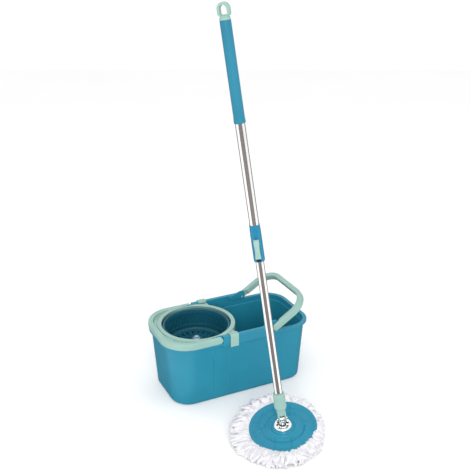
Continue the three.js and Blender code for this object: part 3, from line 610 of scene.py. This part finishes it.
def clip_grid(side):
    """A hook-shaped section pushed along the rim. Its top is sunk where the two slots are."""
    section = [(CLIP_IN, 212.8), (112.8, 212.8), (112.8, 217.3), (125.3, 217.3), (125.3, CLIP_FOOT + 1)]
    section += [(126.6, CLIP_FOOT), (128.9, CLIP_FOOT + 2), (CLIP_OUT, CLIP_FOOT + 7)]
    section += [(CLIP_OUT, CLIP_TOP), (CLIP_IN, CLIP_TOP)]
    section = rounded(section, (0.6, 0.6, 0.5, 0.8, 0.4, 0.6, 1, 2, 3.2, 1), closed=True)
    section = divided_loop(section, 0.9)
    stretches = ((-1, -0.94, 3), (-0.9, 0.9, 61), (0.94, 1, 3))
    x = clip_middle + CLIP_HALF * np.concatenate([np.linspace(*stretch) for stretch in stretches])
    y = np.repeat(section[:, :1], len(x), axis=1)
    z = np.repeat(section[:, 1:], len(x), axis=1)
    slot = (np.abs(np.abs(x - clip_middle) - SLOT_APART) < SLOT_HALF_LONG)[None]
    slot = slot & (np.abs(y - SLOT_Y) < SLOT_HALF_WIDE) & (z > CLIP_TOP - 0.5)
    grid = np.stack([np.broadcast_to(x, y.shape), side * y, z - SLOT_DEPTH * slot], -1)
    return np.swapaxes(grid, 0, 1)


for side, word in ((-1, "front"), (1, "back")):
    skin("clip_" + word, clip_grid(side), "frame_assembly", mint_plastic,
         ["rim_clip_" + word])

# ---------------------------------------------------------------------------------------------
# Spin basket: a thin teal moulding with a bright rolled rim, a wall of narrow slots in two tiers with
# a rib between them, and a floor with drain slots that rises to the hub in its middle.
BASKET_SLOTS, COLUMNS_PER_SLOT, SLOT_COLUMNS, BASKET_WALL = 96, 5, 2, 2.2
BASKET_LINE = [(10.4, 160), (16.2, 160), (18.4, 150), (21, 143.4), (82, 143.4), (88, 147), (96.8, 201)]
BASKET_LINE += [(97.4, 208.6), (101.8, 208.6), (101.8, 203.0)]
BASKET_RADII = (0, 1.5, 4, 3, 4, 3, 1.2, 1.6, 1.2, 0)
SLOT_TIERS = ((151.5, 159.0), (162.0, 197.0))
DRAIN_TIERS = ((34.0, 50.0), (58.0, 74.0))
DRAIN_EVERY, DRAIN_COLUMNS, WALL_FROM_RADIUS, FLOOR_TO_HEIGHT = 4, 6, 60, 145


def basket_mesh():
    """The middle of the wall turned about the spin axis, with the faces of the slots and of the drain
    holes left out. A Solidify modifier gives the wall its thickness."""
    line = divided(rounded(BASKET_LINE, BASKET_RADII, closed=False), 3.0)
    columns = BASKET_SLOTS * COLUMNS_PER_SLOT
    points = turned(line, under_basket, columns=columns)
    row = np.arange(len(line) - 1)[:, None]
    column = np.arange(columns)[None]
    beside = (column + 1) % columns
    first, second = row * columns, (row + 1) * columns
    quads = np.stack([first + column, first + beside, second + beside, second + column], -1)
    middle = (line[1:] + line[:-1]) / 2
    on_wall = np.zeros(len(middle), bool)
    for low, high in SLOT_TIERS:
        on_wall |= (middle[:, 1] > low) & (middle[:, 1] < high) & (middle[:, 0] > WALL_FROM_RADIUS)
    on_floor = np.zeros(len(middle), bool)
    for near, far in DRAIN_TIERS:
        on_floor |= (middle[:, 0] > near) & (middle[:, 0] < far) & (middle[:, 1] < FLOOR_TO_HEIGHT)
    slot = column[0] % COLUMNS_PER_SLOT < SLOT_COLUMNS
    drain = column[0] % (DRAIN_EVERY * COLUMNS_PER_SLOT) < DRAIN_COLUMNS
    open_face = (on_wall[:, None] & slot[None]) | (on_floor[:, None] & drain[None])
    return meshed("basket_moulding", points.reshape(-1, 3) * mm, quads[~open_face].tolist())


basket_teal = moulded_plastic("basket_teal", (0.007, 0.090, 0.138), roughness=0.30)
basket = fitted("basket_moulding", basket_mesh(), "basket", basket_teal, ["spin_basket"])
wall = basket.modifiers.new("wall", "SOLIDIFY")
wall.thickness, wall.offset = BASKET_WALL * mm, 0.0
sleeve = rounded([(9.3, 128), (16, 128), (16, 142), (9.3, 142)], 0.8, closed=True)
skin("basket_sleeve", turned(sleeve, under_basket), "basket", basket_teal, wrap_rows=True)

# Basket hub: a pale metal cap with eight low teeth that seat in the hub of the mop's disc.
HUB_TEETH, TOOTH_RISE, TOOTH_LOW, TOOTH_FULL, CORE_RADIUS = 8, 1.1, 163.0, 163.6, 3


def brushed_metal(name, colour, roughness, grain=0.15):
    """Bare or plated metal with very fine lines drawn across the upright and slightly uneven gloss."""
    material = blank_material(name, metallic=1.0)
    coordinates = add_node(material, "TexCoord")
    mapping = add_node(material, "Mapping", scale=(1.0, 1.0, 60.0))
    lines = add_node(material, "TexNoise", scale=90.0, detail=4.0)
    tint = add_ramp(material, (np.array(colour) * 0.94, colour), (0.35, 0.65))
    gloss = add_node(material, "MapRange", to_min=max(roughness - 0.03, 0.02), to_max=roughness + 0.05)
    bump = add_node(material, "Bump", strength=grain, distance=0.0001)
    wire(material, (coordinates, "Object", mapping, "Vector"), (mapping, "Vector", lines, "Vector"),
         (lines, "Fac", tint, "Fac"), (tint, "Color", None, "Base Color"),
         (lines, "Fac", gloss, "Value"), (gloss, "Result", None, "Roughness"),
         (lines, "Fac", bump, "Height"), (bump, "Normal", None, "Normal"))
    return material


def toothed(radius, height, angle):
    """The upper step of the cap moves out and in eight times round."""
    upper = smooth_step(height, TOOTH_LOW, TOOTH_FULL) * (radius > CORE_RADIUS)
    return upper * TOOTH_RISE * np.cos(HUB_TEETH * angle)


pale_metal = brushed_metal("pale_metal", (0.40, 0.58, 0.70), 0.30)
hub_profile = [(1, 160.4), (11, 160.4), (11, 162.4), (7.8, 163.2), (6.8, 166.5), (1, 166.5)]
hub_profile = rounded(hub_profile, (0, 0.4, 0.8, 0.6, 0.9, 0), closed=False)
hub_grid = turned(hub_profile, under_basket, swell=toothed)
skin("hub_cap", hub_grid, "basket", pale_metal, ["basket_hub"])

# Running parts under the hub: an acetal bush, a turned steel spindle and a steel washer.
acetal = moulded_plastic("acetal", (0.72, 0.73, 0.72), roughness=0.45, wear=0.05)
turned_steel = brushed_metal("turned_steel", (0.58, 0.58, 0.59), 0.24)


def coat(node, material):
    """A node whose shape is right keeps it and takes this material."""
    materials = frame["nodes"][node].data.materials
    materials.clear()
    materials.append(material)


coat("basket_bearing", acetal)
coat("basket_spindle", turned_steel)
coat("spindle_washer", turned_steel)

# ---------------------------------------------------------------------------------------------
# Mop disc: a teal moulding 191 mm across, thinnest between its ridges, with a lip at its edge, two
# rings of ridges and six fans of stiffening lines.
disc_normal = unit(np.array(joints["plate_swivel"]["axis"]))
hinge_axis = unit(np.array(joints["head_tilt"]["axis"]))
disc_place = np.array(joints["plate_swivel"]["pos_m"]) / mm
disc_axes = np.stack([hinge_axis, np.cross(disc_normal, hinge_axis), disc_normal])
DISC_LIP, DISC_MIDDLE, DISC_FANS, FAN_TURN = 1.6, 2.4, 6, np.radians(46.0)
DISC_RINGS = ((36.5, 3.2, 3.0), (43.5, 1.4, 0.9), (64.0, 2.0, 1.7), (69.0, 1.2, 0.9), (78.0, 5.0, -1.3))
DISC_STEPS = ((28, 32, -2.4), (47, 52, -2.2), (57, 61, 2.2), (85, 88, DISC_LIP))  # from, to, rise
LINE_SPREAD, LINE_SPREAD_MORE, LINE_WIDTH, LINE_HEIGHT = np.radians(3.0), np.radians(11.0), 1.2, 2.4
DISC_COLUMNS, DISC_ROW_STEP = 720, 0.85


def disc_top(radius, angle):
    """Height of the top: raised rings, high . exp(-((r - at) / wide)^2), and S-curved steps, with pairs of
    lines that spread outwards."""
    height = DISC_MIDDLE + sum(high * np.exp(-(((radius - at) / wide) ** 2)) for at, wide, high in DISC_RINGS)
    height = height + sum(rise * smooth_step(radius, near, far) for near, far, rise in DISC_STEPS)
    step = 2 * np.pi / DISC_FANS
    turn = (angle - FAN_TURN + step / 2) % step - step / 2
    spread = LINE_SPREAD + LINE_SPREAD_MORE * smooth_step(radius, 40, 84)
    off_line = radius * (np.abs(turn) - spread)
    line = np.exp(-((off_line / LINE_WIDTH) ** 2))
    line = line * smooth_step(radius, 46, 49) * (1 - smooth_step(radius, 82, 85))
    return height + LINE_HEIGHT * line


def disc_grid():
    """Rings outwards over the top, round the lip and back under to the middle."""
    angle = np.linspace(0, 2 * np.pi, DISC_COLUMNS, endpoint=False)[None]
    radius = np.concatenate([[2.0, 20.0], np.arange(26, 94.2, DISC_ROW_STEP)])[:, None]
    top = np.stack(np.broadcast_arrays(radius, disc_top(radius, angle)), -1)
    edge_line = [(94.4, DISC_LIP), (95.4, 0.6), (95.5, -0.6), (95.5, -4.0)]
    edge_line += [(94.8, -5.4), (93.5, -6.0), (60, -6.0), (2, -6.0)]
    edge = np.repeat(np.array(edge_line)[:, None], angle.shape[1], axis=1)
    rows = np.concatenate([top, edge])
    flat = rows[..., :1] * np.stack([np.cos(angle), np.sin(angle)], -1)
    return np.concatenate([flat, rows[..., 1:]], -1) @ disc_axes + disc_place


disc_teal = moulded_plastic("disc_teal", (0.015, 0.215, 0.330), roughness=0.27)
skin("disc_moulding", disc_grid(), "mop_head", disc_teal, ["mop_plate"])
coat("fringe_ring", acetal)

# Disc hub: a bright plated ring with a scalloped inner edge, screwed to the disc. Under the ring lies a
# near-black disc of painted shade, standing in for the shadow in the gaps of the scallops.
SCALLOPS, SCALLOP_DEPTH, SCALLOPS_WITHIN, SCALLOPS_ABOVE = 8, 2.2, 18.5, 4


def scalloped(radius, height, angle):
    """Only the inner edge moves, in and out eight times round."""
    moving = (radius < SCALLOPS_WITHIN) * (height > SCALLOPS_ABOVE)
    return moving * SCALLOP_DEPTH * np.cos(SCALLOPS * angle)


chrome = brushed_metal("chrome", (0.93, 0.93, 0.935), 0.14, grain=0.03)
hub_ring = [(19.4, 0.3), (25.4, 0.3), (25.4, 8), (22.5, 11.4), (16.5, 11.4), (16.5, 8.4), (19.4, 7)]
hub_ring = rounded(hub_ring, 1.0, closed=True)
hub_grid = turned(hub_ring, disc_place, disc_axes, columns=160, swell=scalloped)
skin("disc_hub_ring", hub_grid, "mop_head", chrome, ["plate_hub"], wrap_rows=True)
# A near-black material for painted shade: the shadow in the hub's gaps and under the lock lever's free end.
shade_black = moulded_plastic("painted_shade_black", (0.012, 0.014, 0.016), roughness=0.5)
# The near-black disc inside the hub ring: painted shade seen through the scallops.
shade_disc_profile = rounded([(1, 2.2), (19.2, 2.2), (19.2, 3.2), (1, 3.2)], 0.3, closed=False)
skin("disc_hub_painted_shade", turned(shade_disc_profile, disc_place, disc_axes), "mop_head", shade_black)

# Pivot: a plated block that turns in the hub. Its foot is a six-armed star, and its eye takes the pin.
eye_place = head_pin / mm
PIVOT_ARMS, ARM_LENGTH, ARMS_PAST, ARMS_BELOW = 6, 3.0, 12, 7


def armed(radius, height, angle):
    """The foot reaches out in six arms."""
    return (radius > ARMS_PAST) * (height < ARMS_BELOW) * ARM_LENGTH * np.cos(PIVOT_ARMS * angle)


def arc(radii, start, end, points, centre=(0, 0)):
    """Points round part of an ellipse: centre + radii . (cos t, sin t)."""
    turn = np.linspace(start, end, points)
    return np.asarray(centre) + np.asarray(radii) * np.stack([np.cos(turn), np.sin(turn)], 1)


foot_profile = [(1, 3.6), (15, 3.6), (15, 5.6), (9.5, 7.6), (8.6, 16), (1, 16)]
foot_profile = rounded(foot_profile, (0, 0.6, 0.6, 2, 1, 0), closed=False)
foot = turned(foot_profile, disc_place, disc_axes, swell=armed)
skin("pivot_foot", foot, "head_pivot", chrome, ["plate_pivot"])
eye_outline = np.concatenate([arc(8.4, 0, np.pi, 25), [(-7.4, -17), (7.4, -17)]])
block = slab(eye_outline, -6.2, 6.2, 0.9)
skin("pivot_block", block @ disc_axes + eye_place, "head_pivot", chrome)

# Head pin: a turned steel pin with a flat head at both ends, through fork and block.
coat("hinge_pin", turned_steel)

# ---------------------------------------------------------------------------------------------
# Fringe: about six hundred strands of white chenille microfibre, sewn to a ring under the disc. They
# stand up round the disc's edge and fall outwards to the floor, and loose fibres blur their outline.
STRANDS, STRAND_STATIONS, STRAND_SIDES, STRAND_RADIUS = 620, 11, 6, 5.3
ROOT_RADIUS, STRAND_REACH, REACH_LEAN, REACH_SPREAD = 82, 128, 17, 7
ROOT_BELOW, STAND_LEAST, STAND_MORE, FLOOR_GAP = -8.0, 9.0, 14.0, 4.4
FIBRES, FIBRES_FROM, FIBRE_LENGTH, FIBRE_WIDTH = 20000, 5, 4.6, 0.45
OVERHANG_MIDDLE = np.radians(-100.84)
LEAN_TOWARDS = np.radians(-25.84)
CORE_RADII, CORE_SHARES = (6, 60, 92, 104, 112, 114, 108, 60, 6.0), (1, 1, 1, 0.9, 0.6, 0.3, 0, 0, 0)
CORE_BELOW, CORE_BOTTOM = -10.5, 1.5
pile = np.random.default_rng(7)


def chenille(name):
    """White microfibre: bright cloudy white, a deep fine nap, no gloss and a soft sheen."""
    material = blank_material(name, roughness=0.95, sheen_weight=0.15, sheen_roughness=0.6)
    coordinates = add_node(material, "TexCoord")
    cloud = add_node(material, "TexNoise", scale=70.0, detail=6.0)
    shade = add_ramp(material, ((0.60, 0.59, 0.65), (0.80, 0.80, 0.83)), (0.30, 0.62))
    nap = add_node(material, "TexNoise", scale=520.0, detail=6.0)
    bump = add_node(material, "Bump", strength=0.8, distance=0.0012)
    wire(material, (coordinates, "Object", cloud, "Vector"), (coordinates, "Object", nap, "Vector"),
         (cloud, "Fac", shade, "Fac"), (shade, "Color", None, "Base Color"),
         (nap, "Fac", bump, "Height"), (bump, "Normal", None, "Normal"))
    return material


def disc_height(x, y, above):
    """Height over the floor of a plane parallel to the disc, above it by a distance, at a place."""
    level = disc_place[2] + above / disc_normal[2]
    slope = disc_normal[0] * (x - disc_place[0]) + disc_normal[1] * (y - disc_place[1])
    return level - slope / disc_normal[2]


def strand_lines():
    """Middle lines of the strands. Each leaves the ring at its own place and swells up at the disc's edge,
    over it along the lower side. The upper ones stand out beyond the disc, highest where the pile is
    pushed back, and the others fall to the floor, nearer in where the disc is raised."""
    start = pile.uniform(0, 2 * np.pi, STRANDS)
    layer = np.sqrt(pile.uniform(0, 1, STRANDS))[:, None]
    t = np.linspace(0, 1, STRAND_STATIONS)[None]
    sway = pile.normal(0, 0.10, STRANDS)[:, None] * t**2
    sway = sway + pile.normal(0, 0.03, STRANDS)[:, None] * np.sin(7 * t)
    angle = start[:, None] + sway
    reach = STRAND_REACH - REACH_LEAN * np.cos(start - LEAN_TOWARDS)
    reach = reach + REACH_SPREAD * pile.uniform(-1, 1, STRANDS)
    radius = ROOT_RADIUS + (reach[:, None] - ROOT_RADIUS) * t ** (0.85 + 0.3 * layer)
    x = disc_place[0] + radius * np.cos(angle)
    y = disc_place[1] + radius * np.sin(angle)
    facing = np.cos(angle - OVERHANG_MIDDLE)
    over = smooth_step(facing, 0.1, 0.7)
    stand = STAND_LEAST + STAND_MORE * smooth_step(-facing, -0.2, 0.8)
    swell = (2.0 + 4.5 * over * layer) * smooth_step(radius, 84, 92)
    swell = swell + stand * layer * smooth_step(radius, 93, 118)
    top = disc_height(x, y, ROOT_BELOW + swell)
    fall = smooth_step(t, 0.35, 1.0) * (1 - 0.8 * layer**2)
    z = np.maximum(top * (1 - fall) + (FLOOR_GAP + 0.2) * fall, FLOOR_GAP)
    return np.stack([x, y, z], -1)


def strand_mesh(lines, thickness, name):
    """A six-sided tube along every line. Its thickness swells and shrinks along it and tapers at the tip."""
    along = unit(np.gradient(lines, axis=1))
    sideways = np.cross(along, (0, 0, 1.0))
    sideways = sideways / np.maximum(np.linalg.norm(sideways, axis=-1, keepdims=True), 1e-6)
    upright = np.cross(sideways, along)
    angle = np.linspace(0, 2 * np.pi, STRAND_SIDES, endpoint=False)
    count, stations = lines.shape[:2]
    lumps = 1 + 0.30 * pile.uniform(-1, 1, (count, stations, STRAND_SIDES))
    t = np.linspace(0, 1, stations)
    taper = np.sqrt(np.clip(1 - ((t - 0.45) / 0.58) ** 4, 0.06, 1))
    size = thickness * (taper[None, :, None] * lumps)[..., None]
    around = np.cos(angle)[:, None] * sideways[:, :, None] + np.sin(angle)[:, None] * upright[:, :, None]
    points = lines[:, :, None] + size * around
    points[..., 2] = np.maximum(points[..., 2], 0.3)
    strand = (np.arange(count) * stations * STRAND_SIDES)[:, None, None]
    row = (np.arange(stations - 1) * STRAND_SIDES)[None, :, None]
    column = np.arange(STRAND_SIDES)[None, None]
    beside = (column + 1) % STRAND_SIDES
    quads = np.stack(np.broadcast_arrays(
        strand + row + column, strand + row + STRAND_SIDES + column,
        strand + row + STRAND_SIDES + beside, strand + row + beside), -1).reshape(-1, 4)
    first = strand[:, 0] + column[0]
    last = first[:, ::-1] + (stations - 1) * STRAND_SIDES
    faces = quads.tolist() + first.tolist() + last.tolist()
    return meshed(name, points.reshape(-1, 3) * mm, faces), points


def fibre_mesh(points, name):
    """Thin three-sided spikes that stand out of the strands' surface in every direction, past the disc."""
    outer = points[:, FIBRES_FROM:]
    spots = outer.reshape(-1, 3)
    middles = np.repeat(outer.mean(axis=2, keepdims=True), STRAND_SIDES, axis=2).reshape(-1, 3)
    chosen = pile.integers(0, len(spots), FIBRES)
    root = spots[chosen]
    out = unit(root - middles[chosen] + pile.normal(0, 1.6, (FIBRES, 3)))
    root = root - out * 1.2 + pile.normal(0, 1.3, (FIBRES, 3))
    length = FIBRE_LENGTH * pile.uniform(0.4, 1.0, (FIBRES, 1))
    tip = root + out * length
    side = unit(np.cross(out, pile.normal(0, 1, (FIBRES, 3))))
    other = np.cross(out, side)
    turn = np.array((0, 2 * np.pi / 3, 4 * np.pi / 3))[:, None]
    around = np.cos(turn) * side[:, None] + np.sin(turn) * other[:, None]
    corners = np.concatenate([root[:, None] + FIBRE_WIDTH / 2 * around, tip[:, None]], axis=1)
    corners[..., 2] = np.maximum(corners[..., 2], 0.2)
    base = (np.arange(FIBRES) * 4)[:, None, None]
    faces = base + np.array([(0, 2, 1), (0, 1, 3), (1, 2, 3), (2, 0, 3)])[None]
    return meshed(name, corners.reshape(-1, 3) * mm, faces.reshape(-1, 3).tolist(), smooth=False)


def core_grid():
    """What the strands hide: a low cushion from the floor to just under the disc."""
    angle = np.linspace(0, 2 * np.pi, 96, endpoint=False)[None]
    radius = np.array(CORE_RADII)[:, None]
    x = disc_place[0] + radius * np.cos(angle)
    y = disc_place[1] + radius * np.sin(angle)
    under = np.maximum(disc_height(x, y, CORE_BELOW), 2 * CORE_BOTTOM)
    share = np.array(CORE_SHARES)[:, None]
    return np.stack([x, y, CORE_BOTTOM + (under - CORE_BOTTOM) * share], -1)


white_pile = chenille("white_pile")
strands, strand_points = strand_mesh(strand_lines(), STRAND_RADIUS, "fringe_strands")
fitted("fringe_strands", strands, "mop_head", white_pile, ["fringe"])
fitted("fringe_fibres", fibre_mesh(strand_points, "fringe_fibres"), "mop_head", white_pile)
skin("fringe_core", core_grid(), "mop_head", white_pile)

# ---------------------------------------------------------------------------------------------
# Fork and socket: one mint moulding. Two cheeks take the head pin, a short cone closes them together,
# and a sleeve above takes the lower tube.
pole_axis = unit(np.array(joints["press_slide"]["axis"]))
lever_hinge = unit(-np.array(joints["lever_open"]["axis"]))
pole_axes = np.stack([np.cross(lever_hinge, pole_axis), lever_hinge, pole_axis])
fork_axes = np.stack([hinge_axis, np.cross(pole_axis, hinge_axis), pole_axis])


def on_pole(name, line, body, material, finish, replaced=(), **how):
    """A closed line of radius and height turned about the pole's axis."""
    grid = turned(line, eye_place, pole_axes, **how)
    return skin(name, grid, body, material, replaced, wrap_rows=True)


sleeve_line = [(11.2, 44), (11.2, 84), (12.7, 84), (12.7, 37), (14.6, 36.6), (14.6, 34)]
sleeve_line += [(13.0, 33.2), (11.2, 14), (5, 13.4), (5, 44)]
sleeve_line = rounded(sleeve_line, (0.3, 0.4, 0.4, 0.3, 0.5, 0.5, 1, 2, 1, 1), closed=True)
on_pole("fork_sleeve", sleeve_line, "lower_pole", mint_plastic, "mint_plastic", ["fork_socket"])
cheek_outline = np.concatenate([arc(8, np.pi, 2 * np.pi, 25), [(8.4, 27), (-8.4, 27)]])
for side, word in ((-1, "a"), (1, "b")):
    cheek = slab(cheek_outline, 6.7, 11.4, 2.0) * (side, 1, 1)
    skin("fork_cheek_" + word, cheek @ fork_axes + eye_place, "lower_pole", mint_plastic)

# Collar nut: a mint nut with shallow flutes that clamps the tube in the socket.
FLUTES, FLUTE_DEPTH, FLUTES_PAST = 20, 0.8, 15


def fluted(radius, height, angle):
    """The outside draws in twenty times round between its two plain bands."""
    zone = smooth_step(height, 43, 45) * (1 - smooth_step(height, 72, 74)) * (radius > FLUTES_PAST)
    return -FLUTE_DEPTH * zone * (0.5 + 0.5 * np.cos(FLUTES * angle)) ** 2


collar_line = [(13, 37.4), (16.6, 37.4), (17.0, 42), (16.0, 76)]
collar_line += [(15.0, 84.4), (11.5, 84.4), (11.5, 80.4), (13, 80.4)]
collar_line = divided_loop(rounded(collar_line, (0.4, 1.2, 1, 1.5, 2, 0.4, 0.3, 0.3), closed=True), 2.5)
on_pole("collar_ring", collar_line, "lower_pole", mint_plastic, "mint_plastic", ["collar_nut"],
        columns=200, swell=fluted)

# Tubes: chromed steel, the lower one 22 mm across sliding in the upper one of 24 mm. Their ends are
# deburred.
for name, node, body, inner, outer, low, high in (
    ("tube_lower", "lower_tube", "lower_pole", 9.9, 10.9, 44.4, 661),
    ("tube_upper", "upper_tube", "upper_pole", 11.5, 12.2, 502, 1078),
):
    line = rounded([(inner, low), (outer, low), (outer, high), (inner, high)], 0.3, closed=True, steps=4)
    on_pole(name, divided_loop(line, 60.0), body, chrome, "chrome", [node])

# Drive parts inside the tubes: a twisted steel strip, the acetal nut it runs through and a guide cap.
# The lock lever's steel pin is finished here too.
coat("drive_screw", turned_steel)
coat("drive_nut", acetal)
coat("guide_cap", acetal)
coat("lever_pin", turned_steel)

# Clamp housing: a glossy teal sleeve on the end of the upper tube, with a flat seat for the lever and
# a lug in the middle of it for the lever's pin.
LEVER_PLACE, SEAT_REACH, SEAT_PAST = (18.2, 544.0), 15.8, 13
housing_teal = moulded_plastic("housing_teal", (0.013, 0.190, 0.330), roughness=0.24)
housing_line = [(11.3, 481), (13.6, 481), (14.4, 485), (14.2, 560)]
housing_line += [(13.3, 581), (12.5, 581), (12.5, 501.6), (11.3, 501.6)]
housing_line = divided_loop(rounded(housing_line, (0.3, 1, 3, 8, 0.8, 0.4, 0.3, 0.3), closed=True), 6.0)


def seated(radius, height, angle):
    """Towards the lever the wall bulges out to a flat seat 16 mm wide."""
    zone = smooth_step(height, 483, 487) * (1 - smooth_step(height, 533, 540)) * (radius > SEAT_PAST)
    facing = np.cos(angle)
    flat = SEAT_REACH / np.maximum(facing, 0.4)
    width = 1 - smooth_step(np.abs(np.sin(angle)) * SEAT_REACH, 7.0, 9.0)
    return zone * (facing > 0) * width * np.maximum(flat - radius, 0)


on_pole("clamp_sleeve", housing_line, "upper_pole", housing_teal, "teal_plastic", ["clamp_housing"],
        columns=160, swell=seated)
lug_end = arc(2.6, -np.pi / 2, np.pi / 2, 17, LEVER_PLACE)
lug_outline = np.concatenate([lug_end, [(12.4, 546.6), (12.4, 541.4)]])
lug = slab(lug_outline, -3.3, 3.3, 0.5)[..., [1, 0, 2]]
skin("lever_lug", lug @ pole_axes + eye_place, "upper_pole", housing_teal)

# Clamp shade: a thin near-black patch on the seat under the lever's free end, painted shade for the shadowed
# recess there.
shade_patch_outline = rounded([(-5.6, 484.6), (5.6, 484.6), (5.6, 503), (-5.6, 503)], 1.6, closed=True)
shade_patch = slab(shade_patch_outline, 15.2, 16.3, 0.4)
skin("clamp_painted_shade", shade_patch @ pole_axes + eye_place, "upper_pole", shade_black)

# Lock lever: a mint thumb lever with a round top over its pin and a square end to lift by, slightly
# waisted, crowned across and lifted at its free end. Two cheeks under it take the pin.
LEVER_HALF, CROWN, END_LIFT, LIFT_BELOW, LIFT_OVER = 7.6, 0.9, 1.6, 510, 15
lever_outline = np.concatenate([
    arc((7.5, 7.0), 0, np.pi, 21, (0, 539.2)),
    [(-6.3, 522), (-6.4, 510), (-LEVER_HALF, 496), (-6.8, 494.6)],
    [(6.8, 494.6), (LEVER_HALF, 496), (6.4, 510), (6.3, 522)],
])
lever = slab(divided_loop(lever_outline, 3.0), 18.2, 22.4, 1.3)
crown = CROWN * (1 - (lever[..., 1] / LEVER_HALF) ** 2) * (lever[..., 0] > 20)
lever[..., 0] += crown + END_LIFT * smooth_step(LIFT_BELOW - lever[..., 2], 0, LIFT_OVER)
skin("thumb_lever", lever @ pole_axes + eye_place, "lever", mint_plastic, ["lock_lever"])
for side, word in ((-1, "a"), (1, "b")):
    eye = arc(2.8, 0, 2 * np.pi, 33, LEVER_PLACE)[:-1]
    cheek = slab(eye, 3.6, 5.6, 0.4)[..., [1, 0, 2]] * (1, side, 1)
    skin("lever_cheek_" + word, cheek @ pole_axes + eye_place, "lever", mint_plastic)

# Grip: a matt teal sleeve pushed over the top of the upper tube, with a bead at its lower end.
grip_teal = moulded_plastic("grip_teal", (0.017, 0.190, 0.292), roughness=0.40, grain=0.2)
grip_line = [(12.5, 842), (14.1, 842), (14.6, 845), (13.7, 856)]
grip_line += [(13.6, 900), (13.6, 1070), (13.3, 1083), (12.5, 1083)]
grip_line = divided_loop(rounded(grip_line, (0.3, 1, 2, 5, 3, 4, 0.8, 0.3), closed=True), 12.0)
on_pole("grip_sleeve", grip_line, "upper_pole", grip_teal, "teal_soft", ["grip"])

# Hanging loop: a mint cap plugged into the tube, with a flat loop on top for a wall hook.
cap_line = [(0.6, 1064), (11.1, 1064), (11.1, 1083.3), (13.3, 1083.3), (13.3, 1087), (9, 1094), (0.6, 1095)]
cap_line = rounded(cap_line, (0, 0.5, 0.3, 0.3, 2, 3, 0), closed=False)
skin("loop_cap", turned(cap_line, eye_place, pole_axes), "upper_pole", mint_plastic,
     ["hanging_loop"])
LOOP_RADIUS, LOOP_LOW, LOOP_HIGH, LOOP_HALF_DEPTH, LOOP_HALF_BAND = 12.6, 1098.0, 1107.0, 6.5, 3.2
LOOP_TURN, LOOP_FOOT = np.radians(22.0), 0.6


def loop_grid():
    """A rounded rectangle carried round a circle that is stretched upwards and flattened at its foot."""
    turn = np.linspace(0, 2 * np.pi, 96, endpoint=False)
    upper = np.sin(turn) >= 0
    middle = np.where(upper, LOOP_HIGH, LOOP_LOW)
    foot = np.where(upper, 1.0, LOOP_FOOT)
    deep, band = LOOP_HALF_DEPTH, LOOP_HALF_BAND
    section = rounded([(-deep, -band), (deep, -band), (deep, band), (-deep, band)], 2.4, closed=True)
    depth, out = section[:, 0][:, None], section[:, 1][:, None]
    across = (LOOP_RADIUS + out) * np.cos(turn)
    up = middle + (LOOP_RADIUS + out) * np.sin(turn) * foot
    front = depth * np.cos(LOOP_TURN) + across * np.sin(LOOP_TURN)
    side = across * np.cos(LOOP_TURN) - depth * np.sin(LOOP_TURN)
    return np.stack([front, side, up], -1) @ pole_axes + eye_place


skin("loop_band", loop_grid(), "upper_pole", mint_plastic, wrap_rows=True)
